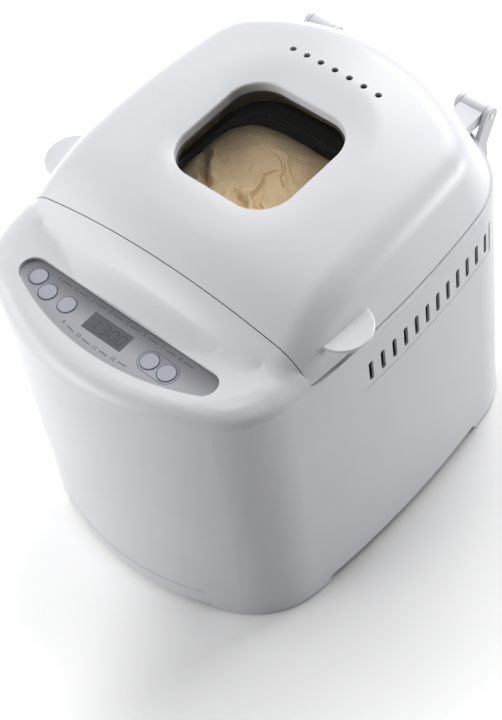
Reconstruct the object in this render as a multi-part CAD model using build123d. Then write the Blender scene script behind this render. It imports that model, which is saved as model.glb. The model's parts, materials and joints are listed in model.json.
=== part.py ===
from build123d import *
import os
from math import asin, acos, cos, degrees, radians, sin, sqrt, tan

# Bread machine with a hinged lid, a window and a front control deck.
# Frame: origin on the floor under the middle of the casing, +Z up, front towards -Y, millimetres.

# Casing outline seen from above
body_width = 280.0
body_depth = 354.0
end_bow = 0.55 * body_depth
side_bow = 800.0
corner_round = 64.0
side_draft = 3.0
wall = 2.5

# Heights
rim_height = 245.0
top_height = 308.0
skirt_lift = 1.6
arch_height = 7.5
arch_round = 5.0

# Clearances
fit = 0.3
snug = 0.1
running = 0.05
lid_gap = 0.8

# Crown of the lid and the deck
crown_radius = 450.0
crown_y = 35.0
long_arc = 770.0
nose_arc = 120.0
nose_start_y = -16.0
nose_slope = 45.0
shoulder_lean = 21.0
shoulder_round = 0.5 * (top_height - rim_height)
lid_setback = 2.0
seam_y = -80.0
brim_height = 12.0
brim_lean = 5.0
brim_round = 18.0
bowl_drop = 3.5
bowl_half_width = 116.0
bowl_half_depth = 48.0
bowl_y = -113.0
scoop_share = 0.96
scoop_sink = 0.5
form_depth = 45.0

# Side vents and front groove of the body
vent_count = 12
vent_pitch = 12.2
vent_length = 20.0
vent_width = 4.3
vent_first_y = -27.0
vent_z = 210.0
vent_band = 0.5
vent_band_margin = 5.5
groove_half_width = 73.0
groove_z = 23.0
groove_width = 1.4
groove_depth = 0.8
front_foot_x = 78.0
side_foot_y = 88.0

# Base plate, feet and screw posts
base_z = 10.0
base_thickness = 3.0
foot_x = 95.0
foot_y = 120.0
foot_radius = 10.0
foot_height = 5.2
foot_cup_radius = 13.5
foot_cup_z = 2.6
boss_y = 62.0
boss_radius = 7.0
boss_height = 46.0
screw_radius = 1.75
screw_head_radius = 3.6
screw_head_height = 2.2
screw_length = 14.0

# Top deck and the ledge that carries it
deck_drop = 4.0
deck_thickness = 3.0
ledge_width = 5.0
ledge_height = 3.0
deck_overlap = 2.0

# Control deck
insert_thickness = 2.0
insert_recess = 0.6
insert_top_y = -114.5
insert_depth = 39.5
insert_bow = 205.0
insert_corner = 11.0
display_width = 37.0
display_height = 15.0
display_x = -2.0
display_y = -132.3
display_flange = 2.0
display_lens_flange_thickness = 1.2
module_margin = 4.0
button_radius = 6.5
button_flange = 0.7
button_flange_thickness = 1.2
button_proud = 0.7
button_travel = 1.0
button_stem_radius = 2.5
button_plunger = 1.5
button_places = {
    "menu_button": (-75.0, -127.0),
    "colour_button": (-60.0, -132.8),
    "weight_button": (-41.0, -132.8),
    "time_button": (38.5, -132.9),
    "start_button": (54.5, -133.2),
}
board_drop = 13.5
board_thickness = 1.6
board_margin = 6.0
board_post_radius = 2.8
board_post_places = [(-29.0, -121.5), (25.0, -121.5), (-29.0, -144.0), (25.0, -144.0), (68.0, -127.0)]
switch_size = 6.0
switch_height = 3.5
switch_plunger_radius = 1.7

# Lid window and vents
window_y = 28.0
window_width = 99.0
window_length = 100.0
window_corner = 27.0
window_drop = 9.0
window_edge_round = 1.6
window_skirt = 8.0
window_skirt_wall = 2.0
dish_slope = 0.25
dish_run = 44.0
dish_round = 50.0
glass_margin = 8.0
glass_thickness = 3.0
gasket_thickness = 2.0
gasket_width = 7.0
gasket_show = 1.2
lid_hole_count = 7
lid_hole_pitch = 13.1
lid_hole_radius = 2.5
lid_hole_y = 109.0

# Lid grips
grip_y = -38.0
grip_radius = 21.6
grip_reach = 149.0
grip_thickness = 3.0
grip_above = 15.0

# Lid liner
liner_sheet = 1.2
liner_above = 3.0
liner_height = 22.0
liner_flange = 10.0
liner_taper = 4.0
liner_collar_margin = 12.0
liner_opening_margin = 3.0
lid_boss_y = 55.0
lid_boss_radius = 4.0

# Hinge
hinge_inset = 3.0
hinge_above = 10.0
hinge_x = 72.0
hinge_radius = 6.5
hinge_pin_radius = 2.0
knuckle_width = 20.0
lug_thickness = 4.0
lug_gap = 0.5
lug_foot_top = 10.0
lug_foot_height = 24.0
bracket_web = 5.0
knuckle_arm_height = 9.0

# Oven chamber
chamber_width = 208.0
chamber_length = 184.0
chamber_corner = 26.0
chamber_sheet = 1.0
chamber_floor_z = 70.0
chamber_flange = 10.0
shaft_hole_radius = 19.0
leg_x = 72.0
leg_y = 45.0
leg_width = 18.0
leg_sheet = 1.5
leg_foot = 14.0

# Heating element and sensor
element_radius = 3.2
element_above_floor = 22.0
element_side_gap = 8.0
element_bend = 28.0
terminal_half_gap = 56.0
terminal_bend = 5.5
terminal_length = 14.0
bushing_radius = 6.0
bushing_flange = 2.5
bushing_length = 4.5
sensor_z = 142.0
sensor_radius = 3.0
sensor_reach = 15.0
sensor_plate = 22.0

# Bread pan
pan_width = 168.0
pan_length = 142.0
pan_corner = 32.0
pan_wall = 1.5
pan_taper = 6.0
pan_floor_z = 106.0
pan_rim_z = 227.0
pan_bottom_round = 10.0
pan_rim_reach = 3.0
pan_rim_thickness = 1.5
pan_foot_radius = 46.7
pan_foot_wall = 3.7
pan_foot_flange = 3.3
pan_foot_plate = 2.0
socket_gap = 0.6
socket_wall = 4.7
socket_height = 13.0
socket_flange = 8.0
socket_flange_thickness = 2.0
clip_width = 10.0
clip_sheet = 1.0
pan_seat_gap = 0.3
pan_bush_radius = 10.0
pan_bush_neck = 7.0
pan_shaft_radius = 4.0
ear_width = 16.0
ear_height = 12.0
ear_reach = 6.0
bail_radius = 2.0
bail_side_gap = 6.0
bail_bend = 12.0
bail_hook_bend = 3.0
bail_below_rim = 9.0

# Kneading paddle
paddle_reach = 40.0
paddle_height = 26.0
paddle_thickness = 5.0
paddle_hub_radius = 10.0
paddle_hub_height = 26.0
paddle_lift = 1.5

# Dough
dough_height = 140.0
dough_side_gap = 1.5
dough_paddle_gap = 3.0

# Drive under the chamber
frame_z = 50.0
frame_sheet = 2.0
frame_flange = 7.0
frame_rear_width = 180.0
frame_rear_y = 105.0
frame_step_y = -55.0
frame_front_width = 112.0
frame_front_y = -150.0
frame_corner = 10.0
post_radius = 6.0
post_places = [(-80.0, -43.0), (80.0, -43.0), (-80.0, 95.0), (80.0, 95.0), (-46.0, -141.0), (46.0, -141.0)]
shaft_radius = 5.0
bearing_tube_radius = 13.0
bearing_flange_radius = 32.0
bearing_flange_thickness = 4.0
bearing_below = 14.0
bush_radius = 8.5
bush_length = 10.0
pulley_radius = 50.0
pulley_width = 12.0
pulley_rim = 4.0
pulley_web = 4.0
pulley_hub_radius = 11.0
pulley_flange = 2.5
pulley_flange_thickness = 1.5
pulley_hole_count = 6
pulley_hole_radius = 9.0
pulley_hole_place = 29.0
pulley_below_tube = 2.0
motor_pulley_radius = 7.0
belt_width = 8.0
belt_thickness = 2.0
dog_radius = 17.0
dog_plate = 4.0
dog_lug_height = 9.0
dog_lug_inner = 7.0
dog_lug_angle = 40.0
dog_above_floor = 5.0
dog_gap = 1.0

# Motor
motor_y = -112.0
motor_size = 76.0
motor_corner = 9.0
stack_height = 36.0
bell_height = 16.0
bell_plate = 4.0
bell_window = 46.0
bell_gap = 1.5
rotor_radius = 21.5
rotor_gap = 0.5
winding_outer = 33.0
winding_inner = 23.5
winding_height = 11.0
motor_shaft_radius = 4.0
motor_boss_radius = 9.0
motor_bolt_place = 32.0
motor_bolt_radius = 2.0
fan_radius = 32.0
fan_height = 9.0
fan_blades = 9
fan_blade_thickness = 1.6
fan_lift = 3.0

# Boards under the deck
capacitor_size = (44.0, 22.0, 32.0)
capacitor_place = (-86.0, -104.0)
power_board_size = (46.0, 62.0)
power_board_place = (84.0, -92.0)
power_board_lift = 8.0
power_post_radius = 3.0
power_post_inset = 4.0

# Cord gland in the back wall
gland_z = 36.0
gland_bore = 3.6
gland_neck = 7.0
gland_flange = 10.0
gland_flange_thickness = 2.2

# Heights and places worked out from the sizes above
brim_top = rim_height + brim_height
bowl_floor = brim_top - bowl_drop
insert_top = bowl_floor - insert_recess
insert_seat = insert_top - insert_thickness
tray_floor = insert_seat - wall
board_top = tray_floor - board_drop
switch_top = board_top + switch_height
base_top = base_z + base_thickness
deck_top = rim_height - deck_drop
frame_top = frame_z + frame_sheet
chamber_inside_z = chamber_floor_z + chamber_sheet
chamber_flange_z = deck_top - deck_thickness - chamber_sheet
hinge_y = body_depth / 2 - hinge_inset
hinge_z = rim_height + hinge_above
lid_bottom = rim_height + lid_gap
lid_front = seam_y + lid_gap / 2
fascia_back = seam_y - lid_gap / 2
window_edge_z = top_height - window_drop
grip_z = rim_height + grip_above
liner_flange_z = rim_height + liner_above
liner_roof_z = liner_flange_z + liner_height - liner_sheet
skirt_bottom = window_edge_z - window_skirt
glass_top = skirt_bottom - gasket_thickness
glass_bottom = glass_top - glass_thickness
pan_y = window_y
pan_foot_z = chamber_inside_z + socket_flange_thickness + pan_seat_gap
bail_z = pan_rim_z - bail_below_rim
bail_x = pan_width / 2 + pan_rim_reach + bail_side_gap
bail_length = pan_length / 2 + pan_rim_reach + bail_side_gap
element_z = chamber_inside_z + element_above_floor
dog_z = chamber_inside_z + dog_above_floor
dog_lug_z = dog_z + dog_plate
pan_dog_z = dog_lug_z + dog_lug_height + dog_gap
bearing_bottom = frame_z - bearing_below
bearing_top = chamber_floor_z - fit
pulley_top = bearing_bottom - pulley_below_tube
pulley_bottom = pulley_top - pulley_width
belt_z = (pulley_top + pulley_bottom - belt_width) / 2
stack_z = frame_top + bell_height
motor_top = stack_z + stack_height + bell_height
paddle_z = pan_floor_z + pan_wall + paddle_lift


# Helpers

def box_between(low, high):
    """Box from one corner to the opposite one."""
    size = [b - a for a, b in zip(low, high)]
    middle = [(a + b) / 2 for a, b in zip(low, high)]
    return Pos(*middle) * Box(*size)


def disc(x, y, z, radius, height):
    """Upright round bar standing on z."""
    return extrude(Pos(x, y, z) * Circle(radius), height)


def block(x, y, z, width, length, height, corner):
    """Upright block with rounded corners standing on z."""
    return extrude(Pos(x, y, z) * RectangleRounded(width, length, corner), height)


def turned(corners, x, y):
    """Body turned round an upright axis, from (radius, height) corners."""
    outline = Polyline(*[(radius, 0, height) for radius, height in corners], close=True)
    return Pos(x, y, 0) * revolve(make_face(outline), Axis.Z)


def group(solids):
    """Several separate solids in one node."""
    return Compound(children=[solid for solid in solids])


def mirrored_pair(solid):
    """A solid and its mirror image on the other side."""
    return [solid, mirror(solid, Plane.YZ)]


def screw_up(x, y, seat, length):
    """Screw driven upwards, with its head under the seat."""
    head = disc(x, y, seat - screw_head_height, screw_head_radius, screw_head_height)
    return head + disc(x, y, seat, screw_radius, length)


def screw_down(x, y, seat, length):
    """Screw driven downwards, with its head on the seat."""
    head = disc(x, y, seat, screw_head_radius, screw_head_height)
    return head + disc(x, y, seat - length, screw_radius, length)


# Casing forms

def plan(inset=0.0, side_inset=0.0):
    """Barrel shaped outline seen from above: bowed sides and ends with round corners."""
    side_centre = side_bow - body_width / 2
    end_centre = end_bow - body_depth / 2
    outline = Pos(-side_centre, 0) * Circle(side_bow - inset - side_inset)
    outline &= Pos(side_centre, 0) * Circle(side_bow - inset - side_inset)
    outline &= Pos(0, end_centre) * Circle(end_bow - inset)
    outline &= Pos(0, -end_centre) * Circle(end_bow - inset)
    return fillet(outline.vertices(), corner_round - inset)


def body_form(inset=0.0):
    """Solid casing from the floor to the rim, a little narrower at the floor."""
    return loft([plan(inset, side_draft), Pos(0, 0, rim_height) * plan(inset)], ruled=True)


def back_wall_y(x, inset=0.0):
    """Place of the back bow at a distance from the middle."""
    return sqrt((end_bow - inset) ** 2 - x * x) - (end_bow - body_depth / 2)


def crown(inset=0.0):
    """Everything under the domed top line, swept round a long axis below the machine."""
    long_centre = (crown_y, top_height - long_arc)
    nose_angle = asin((crown_y - nose_start_y) / long_arc)
    nose_centre = (
        crown_y - (long_arc - nose_arc) * sin(nose_angle),
        top_height - long_arc + (long_arc - nose_arc) * cos(nose_angle),
    )
    back_angle = degrees(acos((body_depth / 2 + form_depth - crown_y) / long_arc))
    turn_angle = 90 + degrees(nose_angle)
    dome_line = CenterArc(long_centre, long_arc - inset, back_angle, turn_angle - back_angle)
    nose_line = CenterArc(nose_centre, nose_arc - inset, turn_angle, 90 + nose_slope - turn_angle)
    base = rim_height - form_depth
    nose_end = nose_line @ 1
    slope_end = (nose_end.X - (nose_end.Y - base) / tan(radians(nose_slope)), base)
    back_top = dome_line @ 0
    edges = [
        dome_line,
        nose_line,
        Line(nose_end, slope_end),
        Line(slope_end, (back_top.X, base)),
        Line((back_top.X, base), back_top),
    ]
    axis = Axis((0, 0, top_height - crown_radius), (0, 1, 0))
    spread = degrees(asin(body_width * 0.7 / crown_radius))
    return revolve(Plane.YZ * make_face(edges), axis, 2 * spread).rotate(axis, -spread)


def crown_edges(form):
    """Edges where the domed top meets the leaning sides."""
    base = rim_height - form_depth
    tops = []
    for face in form.faces():
        if face.normal_at().Z > 0.5 and face.center().Z > base + 1:
            tops.append(face)
    rims = []
    for face in tops:
        for edge in face.edges():
            shared = [other for other in tops if other is not face and edge in other.edges()]
            if not shared and edge.center().Z > base + 1:
                rims.append(edge)
    return rims


def dome(inset=0.0):
    """Solid form of the lid and deck: leaning sides, domed top and soft shoulders."""
    lean = tan(radians(shoulder_lean))
    low = lid_setback + inset - lean * form_depth
    rise = top_height - rim_height + form_depth / 3
    high = lid_setback + inset + lean * rise
    sides = loft(
        [
            Pos(0, 0, rim_height - form_depth) * plan(low),
            Pos(0, 0, rim_height + rise) * plan(high),
        ],
        ruled=True,
    )
    form = sides & crown(inset)
    return fillet(crown_edges(form), shoulder_round - inset)


def rod_x(y, z, radius, start, end):
    """Round bar along X."""
    return extrude(Plane((start, y, z), z_dir=(1, 0, 0)) * Circle(radius), end - start)


def rod_y(x, z, radius, start, end):
    """Round bar along Y."""
    return extrude(Plane((x, start, z), z_dir=(0, 1, 0)) * Circle(radius), end - start)


def slab(low, high):
    """Everything between two heights."""
    return box_between((-body_width, -body_depth, low), (body_width, body_depth, high))


def behind(y):
    """Everything behind a place along Y."""
    return box_between((-body_width, y, 0), (body_width, body_depth, 2 * top_height))


def ahead(y):
    """Everything in front of a place along Y."""
    return box_between((-body_width, -body_depth, 0), (body_width, y, 2 * top_height))


# Body, base and deck

def boss_places():
    """Places of the four screw bosses beside the side walls."""
    bow = boss_y ** 2 / (2 * side_bow)
    x = body_width / 2 - side_draft - wall - bow - boss_radius + 1.0
    return [(sx * x, sy * boss_y) for sx in (-1, 1) for sy in (-1, 1)]


def vent_slots():
    """Row of upright slots through both side walls."""
    row = Sketch()
    for index in range(vent_count):
        place = Pos(vent_first_y + index * vent_pitch, vent_z)
        row += place * SlotOverall(vent_length, vent_width, rotation=90)
    return extrude(Plane.YZ * row, body_width, both=True)


def vent_recess():
    """Shallow band round each row of slots."""
    half = vent_width / 2 + vent_band_margin
    last_y = vent_first_y + (vent_count - 1) * vent_pitch
    reach = vent_length / 2 + vent_band_margin
    low = (-body_width, vent_first_y - half, vent_z - reach)
    high = (body_width, last_y + half, vent_z + reach)
    return (body_form() - body_form(vent_band)) & box_between(low, high)


def front_groove():
    """Fine line across the front above the foot."""
    low = (-groove_half_width, -body_depth, groove_z - groove_width / 2)
    high = (groove_half_width, 0, groove_z + groove_width / 2)
    return (body_form() - body_form(groove_depth)) & box_between(low, high)


def floor_arches():
    """Low arches between the four corner feet."""
    front = Plane.XZ * RectangleRounded(2 * front_foot_x, 2 * arch_height, arch_round)
    side = Plane.YZ * RectangleRounded(2 * side_foot_y, 2 * arch_height, arch_round)
    return extrude(front, body_depth, both=True) + extrude(side, body_width, both=True)


def deck_ledge():
    """Shelf inside the wall that carries the top deck."""
    top = deck_top - deck_thickness
    ring = Pos(0, 0, top - ledge_height) * (plan(wall / 2) - plan(wall + ledge_width))
    return extrude(ring, ledge_height) & behind(fascia_back - wall)


def body_shell():
    shell = body_form() - body_form(wall)
    shell -= slab(-1, skirt_lift)
    shell -= floor_arches()
    shell -= vent_recess()
    shell -= vent_slots()
    shell -= front_groove()
    shell += deck_ledge()
    inside = body_form(wall / 2)
    for x, y in boss_places():
        boss = disc(x, y, base_top, boss_radius, boss_height)
        boss -= disc(x, y, base_top, screw_radius + snug, screw_length)
        shell += boss & inside
    shell -= rod_y(0, gland_z, gland_neck + snug, 0, body_depth)
    return shell


def foot_places():
    return [(sx * foot_x, sy * foot_y) for sx in (-1, 1) for sy in (-1, 1)]


def power_post_places():
    """Posts under the corners of the power board."""
    x, y = power_board_place
    dx = power_board_size[0] / 2 - power_post_inset
    dy = power_board_size[1] / 2 - power_post_inset
    return [(x + sx * dx, y + sy * dy) for sx in (-1, 1) for sy in (-1, 1)]


def base_plate():
    plate = extrude(Pos(0, 0, base_z) * plan(wall + fit, side_draft), base_thickness)
    for x, y in foot_places():
        plate += disc(x, y, foot_cup_z, foot_cup_radius, base_z - foot_cup_z)
        plate -= disc(x, y, foot_cup_z, foot_radius + snug, foot_height - foot_cup_z)
    for x, y in post_places:
        plate += disc(x, y, base_top, post_radius, frame_z - base_top)
        plate -= disc(x, y, frame_top - screw_length, screw_radius + snug, screw_length)
    for x, y in power_post_places():
        plate += disc(x, y, base_top, power_post_radius, power_board_lift)
    for x, y in boss_places():
        plate -= disc(x, y, base_z, screw_radius + fit, base_thickness)
    vents = GridLocations(0, 2 * pulley_width, 1, 5)
    slots = Sketch() + [place * SlotOverall(motor_size, pulley_rim) for place in vents]
    return plate - extrude(Pos(0, pan_y, base_z) * slots, base_thickness)


def rubber_feet():
    feet = []
    for x, y in foot_places():
        foot = disc(x, y, 0, foot_radius, foot_height)
        feet.append(fillet(foot.edges().sort_by(Axis.Z)[0], foot_cup_z / 2))
    return group(feet)


def base_screws():
    return group([screw_up(x, y, base_z, screw_length) for x, y in boss_places()])


def top_deck():
    bottom = deck_top - deck_thickness
    plate = extrude(Pos(0, 0, bottom) * plan(wall + fit), deck_thickness)
    plate &= behind(fascia_back - 2 * wall)
    mouth_width = chamber_width - 2 * deck_overlap
    mouth_length = chamber_length - 2 * deck_overlap
    mouth_corner = chamber_corner - deck_overlap
    lip = block(0, pan_y, deck_top, mouth_width + 2 * wall, mouth_length + 2 * wall,
                wall, mouth_corner + wall)
    lip = fillet(lip.faces().sort_by(Axis.Z)[-1].edges(), wall / 2)
    mouth = block(0, pan_y, bottom, mouth_width, mouth_length, 2 * deck_thickness, mouth_corner)
    return plate + lip - mouth


# Control deck

def nose_point(inset):
    """Place where the nose arc ends and the straight slope begins."""
    angle = asin((crown_y - nose_start_y) / long_arc)
    y = crown_y - (long_arc - nose_arc) * sin(angle)
    z = top_height - long_arc + (long_arc - nose_arc) * cos(angle)
    slope = radians(nose_slope)
    return y - (nose_arc - inset) * sin(slope), z + (nose_arc - inset) * cos(slope)


def scoop(inset=0.0):
    """Hollow sweep between the slope of the nose and the level brim."""
    slope = radians(nose_slope)
    sink = fit / 2
    start_y, start_z = nose_point(inset + sink)
    level = bowl_floor - scoop_sink - inset
    drop = start_z - level
    radius = scoop_share * drop / (1 - cos(slope))
    run = (1 - scoop_share) * drop / sin(slope)
    top = (start_y - run * cos(slope), start_z - run * sin(slope))
    centre = (top[0] - radius * sin(slope), level + radius)
    half = slope / 2
    middle = (centre[0] + radius * sin(half), centre[1] - radius * cos(half))
    foot = (centre[0], level)
    base = rim_height - brim_height
    edges = [
        ThreePointArc(top, middle, foot),
        Line(foot, (foot[0], base)),
        Line((foot[0], base), (top[0] + brim_height, base)),
        Line((top[0] + brim_height, base), top),
    ]
    axis = Axis((0, 0, top_height - crown_radius), (0, 1, 0))
    spread = degrees(asin(body_width * 0.4 / crown_radius))
    return revolve(Plane.YZ * make_face(edges), axis, 2 * spread).rotate(axis, -spread)


def brim_form(inset, base):
    """Brim that leans in from the wall and rolls over to its level top."""
    lean = brim_lean / brim_height
    top = brim_top - inset
    low = Pos(0, 0, base) * plan(inset + lean * (base - rim_height))
    high = Pos(0, 0, top) * plan(inset + lean * (top - rim_height))
    form = loft([low, high], ruled=True)
    return fillet(form.faces().sort_by(Axis.Z)[-1].edges(), brim_round - inset)


def deck_bowl(inset):
    """Shallow bowl round the insert: the low side of a flattened ball."""
    level = 0.9
    reach = sqrt(1 - level * level)
    across = bowl_half_width / bowl_half_depth
    flat = bowl_drop / (1 - level) / (bowl_half_depth / reach)
    ball = scale(Rot(0, 90, 0) * Sphere(bowl_half_depth / reach), by=(across, 1, flat))
    return Pos(0, bowl_y, brim_top - inset + level * bowl_drop / (1 - level)) * ball


def deck_form(inset, base):
    """Deck in front of the seam: nose of the dome, scoop and rolled brim with its bowl."""
    form = brim_form(inset, base) - deck_bowl(inset) + dome(inset) + scoop(inset)
    return form & ahead(fascia_back - inset) & slab(base, 2 * top_height)


def crescent(grow=0.0):
    """Outline of the control insert: straight behind, bowed in front, round ends."""
    bow = Pos(0, insert_top_y - insert_depth + insert_bow) * Circle(insert_bow + grow)
    bow &= Pos(0, insert_top_y + grow - insert_bow) * Rectangle(4 * insert_bow, 2 * insert_bow)
    return fillet(bow.vertices(), insert_corner + grow)


def display_block(z, grow, height):
    """Upright block over the display."""
    width = display_width + 2 * grow
    length = display_height + 2 * grow
    return box_between(
        (display_x - width / 2, display_y - length / 2, z),
        (display_x + width / 2, display_y + length / 2, z + height),
    )


def control_fascia():
    outer = deck_form(0.0, deck_top)
    hood = (outer & slab(rim_height, 2 * top_height)) - deck_form(wall, rim_height - wall)
    tray = extrude(Pos(0, 0, tray_floor) * crescent(wall), top_height - tray_floor) & outer
    back = box_between((-body_width, fascia_back - wall, deck_top), (body_width, fascia_back, brim_top))
    back &= extrude(Pos(0, 0, deck_top) * plan(wall + fit), brim_height + brim_top - deck_top)
    fascia = hood + tray + (back & outer)
    fascia -= extrude(Pos(0, 0, insert_seat) * crescent(), top_height - insert_seat)
    fascia -= display_block(tray_floor, display_flange + fit, wall)
    for x, y in button_places.values():
        fascia -= disc(x, y, tray_floor, button_radius + button_flange + fit, wall)
    for x, y in board_post_places:
        fascia += disc(x, y, board_top, board_post_radius, tray_floor - board_top)
    return fascia


def control_insert():
    plate = extrude(Pos(0, 0, insert_seat) * crescent(-fit), insert_thickness)
    plate -= display_block(insert_seat, 0.0, insert_thickness)
    for x, y in button_places.values():
        plate -= disc(x, y, insert_seat, button_radius + fit, insert_thickness)
    return plate


def display_lens():
    lens = display_block(insert_seat, -fit / 2, insert_thickness - snug)
    flange_z = insert_seat - display_lens_flange_thickness
    return lens + display_block(flange_z, display_flange, display_lens_flange_thickness)


def display_module():
    return display_block(board_top, module_margin, tray_floor - fit - board_top)


def control_board():
    return extrude(Pos(0, 0, board_top - board_thickness) * crescent(-board_margin), board_thickness)


def tact_switches():
    switches = []
    for x, y in button_places.values():
        switch = Pos(x, y, board_top + switch_height / 2) * Box(switch_size, switch_size, switch_height)
        switches.append(switch + disc(x, y, switch_top, switch_plunger_radius, button_plunger))
    return group(switches)


def control_button(place):
    """Round cap with a flange under the insert and a stem over its switch."""
    x, y = place
    flange_top = insert_seat - snug
    flange_z = flange_top - button_flange_thickness
    stem_z = switch_top + button_plunger + button_travel + fit
    button = disc(x, y, flange_z, button_radius, insert_top + button_proud - flange_z)
    button = fillet(button.edges().sort_by(Axis.Z)[-1], button_proud / 2)
    button += disc(x, y, flange_z, button_radius + button_flange, button_flange_thickness)
    return button + disc(x, y, stem_z, button_stem_radius, flange_z - stem_z)


# Lid

def window_outline(grow=0.0):
    return RectangleRounded(window_width + 2 * grow, window_length + 2 * grow, window_corner + grow)


def window_prism(grow, low, high):
    return extrude(Pos(0, window_y, low) * window_outline(grow), high - low)


def dish(drop=0.0):
    """Soft dish that falls towards the window from all sides."""
    low = Pos(0, window_y, window_edge_z - drop) * window_outline()
    high = Pos(0, window_y, window_edge_z - drop + dish_run * dish_slope) * window_outline(dish_run)
    return loft([low, high], ruled=True)


def lid_boss_places():
    x = (chamber_width + liner_flange) / 2
    return [(sx * x, pan_y + sy * lid_boss_y) for sx in (-1, 1) for sy in (-1, 1)]


def lid_knuckle():
    """Barrel on the right of the lid's back edge, with the arm that carries it."""
    start = hinge_x - knuckle_width / 2
    end = hinge_x + knuckle_width / 2
    barrel = rod_x(hinge_y, hinge_z, hinge_radius, start, end)
    half = knuckle_arm_height / 2
    root_y = back_wall_y(end) - shoulder_round
    barrel += box_between((start, root_y, hinge_z - half), (end, hinge_y, hinge_z + half))
    return barrel - rod_x(hinge_y, hinge_z, hinge_pin_radius + running, start, end)


def lid_grip():
    """Half moon tab on the right side of the lid."""
    tab = disc(grip_reach - grip_radius, grip_y, grip_z, grip_radius, grip_thickness)
    return fillet(tab.edges(), grip_thickness / 3)


def edges_above(form, z):
    """Edges that lie wholly above a height: the crease round the dish."""
    return [edge for edge in form.edges() if edge.bounding_box().min.Z > z]


def lid_shell():
    inner = dome(wall)
    shell = dome() & behind(lid_front) & slab(lid_bottom, 2 * top_height)
    shell -= dish()
    shell = fillet(edges_above(shell, window_edge_z + fit), dish_round)
    cavity = inner & behind(lid_front + wall)
    cavity -= dish(wall)
    cavity -= window_prism(window_skirt_wall, skirt_bottom, top_height)
    shell -= cavity
    shell -= window_prism(0.0, rim_height, 2 * top_height)
    lip = shell.edges().filter_by_position(Axis.Z, window_edge_z - snug, window_edge_z + snug)
    shell = fillet(lip, window_edge_round)
    outside = mirrored_pair(lid_knuckle()) + mirrored_pair(lid_grip())
    for piece in outside:
        shell += piece - inner
    for x, y in lid_boss_places():
        boss_z = liner_flange_z + liner_sheet
        boss = disc(x, y, boss_z, lid_boss_radius, top_height - boss_z) & dome(wall / 2)
        shell += boss - disc(x, y, boss_z, screw_radius + snug, screw_length)
    for index in range(lid_hole_count):
        x = (index - (lid_hole_count - 1) / 2) * lid_hole_pitch
        shell -= disc(x, lid_hole_y, liner_roof_z, lid_hole_radius, top_height - liner_roof_z)
    return shell


def liner_form(inset):
    """Hollow of the liner: a steep walled tray with a raised collar under the glass."""
    width = chamber_width - 2 * deck_overlap - 2 * inset
    length = chamber_length - 2 * deck_overlap - 2 * inset
    corner = chamber_corner - deck_overlap - inset
    low = Pos(0, pan_y, liner_flange_z) * RectangleRounded(width, length, corner)
    high_width = width - 2 * liner_taper
    high_length = length - 2 * liner_taper
    high_z = liner_roof_z + liner_sheet - inset
    high = Pos(0, pan_y, high_z) * RectangleRounded(high_width, high_length, corner - liner_taper)
    collar = window_prism(liner_collar_margin - inset, liner_roof_z - liner_sheet, glass_bottom - inset)
    return loft([low, high], ruled=True) + collar


def lid_liner():
    width = chamber_width - 2 * deck_overlap + 2 * liner_flange
    length = chamber_length - 2 * deck_overlap + 2 * liner_flange
    liner = block(0, pan_y, liner_flange_z, width, length, liner_sheet, chamber_corner + liner_flange)
    liner = liner + liner_form(0.0) - liner_form(liner_sheet)
    liner -= window_prism(liner_opening_margin, rim_height, glass_bottom)
    for x, y in lid_boss_places():
        liner -= disc(x, y, liner_flange_z, screw_radius + fit, liner_sheet)
    return liner


def lid_screws():
    return group([screw_up(x, y, liner_flange_z, screw_length - fit) for x, y in lid_boss_places()])


def window_glass():
    return window_prism(glass_margin, glass_bottom, glass_top)


def window_gasket():
    ring = window_prism(gasket_width - gasket_show, glass_top, skirt_bottom)
    return ring - window_prism(-gasket_show, glass_top, skirt_bottom)


# Hinge

def hinge_bracket():
    """Right hand bracket: two gusset lugs on a web that follows the back wall."""
    inner = hinge_x - knuckle_width / 2 - lug_gap - lug_thickness
    outer = hinge_x + knuckle_width / 2 + lug_gap
    foot_top = rim_height - lug_foot_top
    foot_z = foot_top - lug_foot_height
    end = outer + lug_thickness
    eye = Pos(hinge_y, hinge_z) * Circle(hinge_radius)
    bracket = box_between((inner, 0, foot_z), (end, back_wall_y(hinge_x) + bracket_web, foot_top))
    for x in (inner, outer):
        root_y = back_wall_y(x) - wall
        foot = Line((root_y, foot_z), (root_y, foot_top))
        side = Plane.YZ * make_hull(eye.edges() + foot.edges())
        bracket += Pos(x, 0, 0) * extrude(side, lug_thickness)
    bracket -= rod_x(hinge_y, hinge_z, hinge_pin_radius + snug, inner, end)
    return bracket - body_form()


def hinge_brackets():
    return group(mirrored_pair(hinge_bracket()))


def hinge_pins():
    half = knuckle_width / 2 + lug_gap + lug_thickness + lug_gap
    return group(mirrored_pair(rod_x(hinge_y, hinge_z, hinge_pin_radius, hinge_x - half, hinge_x + half)))


# Oven chamber

def chamber_block(grow, low, high):
    width = chamber_width + 2 * grow
    length = chamber_length + 2 * grow
    return block(0, pan_y, low, width, length, high - low, chamber_corner + grow)


def terminal_places():
    return [-terminal_half_gap, terminal_half_gap]


def oven_chamber():
    top = chamber_flange_z + chamber_sheet
    box = chamber_block(chamber_sheet, chamber_floor_z, top)
    box += chamber_block(chamber_sheet + chamber_flange, chamber_flange_z, top)
    box -= chamber_block(0.0, chamber_inside_z, top)
    box -= disc(0, pan_y, chamber_floor_z, shaft_hole_radius, chamber_sheet)
    front = pan_y - chamber_length / 2
    for x in terminal_places():
        box -= rod_y(x, element_z, bushing_radius + snug, front - 2 * chamber_sheet, front + chamber_sheet)
    side = -chamber_width / 2
    return box - rod_x(pan_y, sensor_z, sensor_radius + snug, side - 2 * chamber_sheet, side + chamber_sheet)


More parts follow.
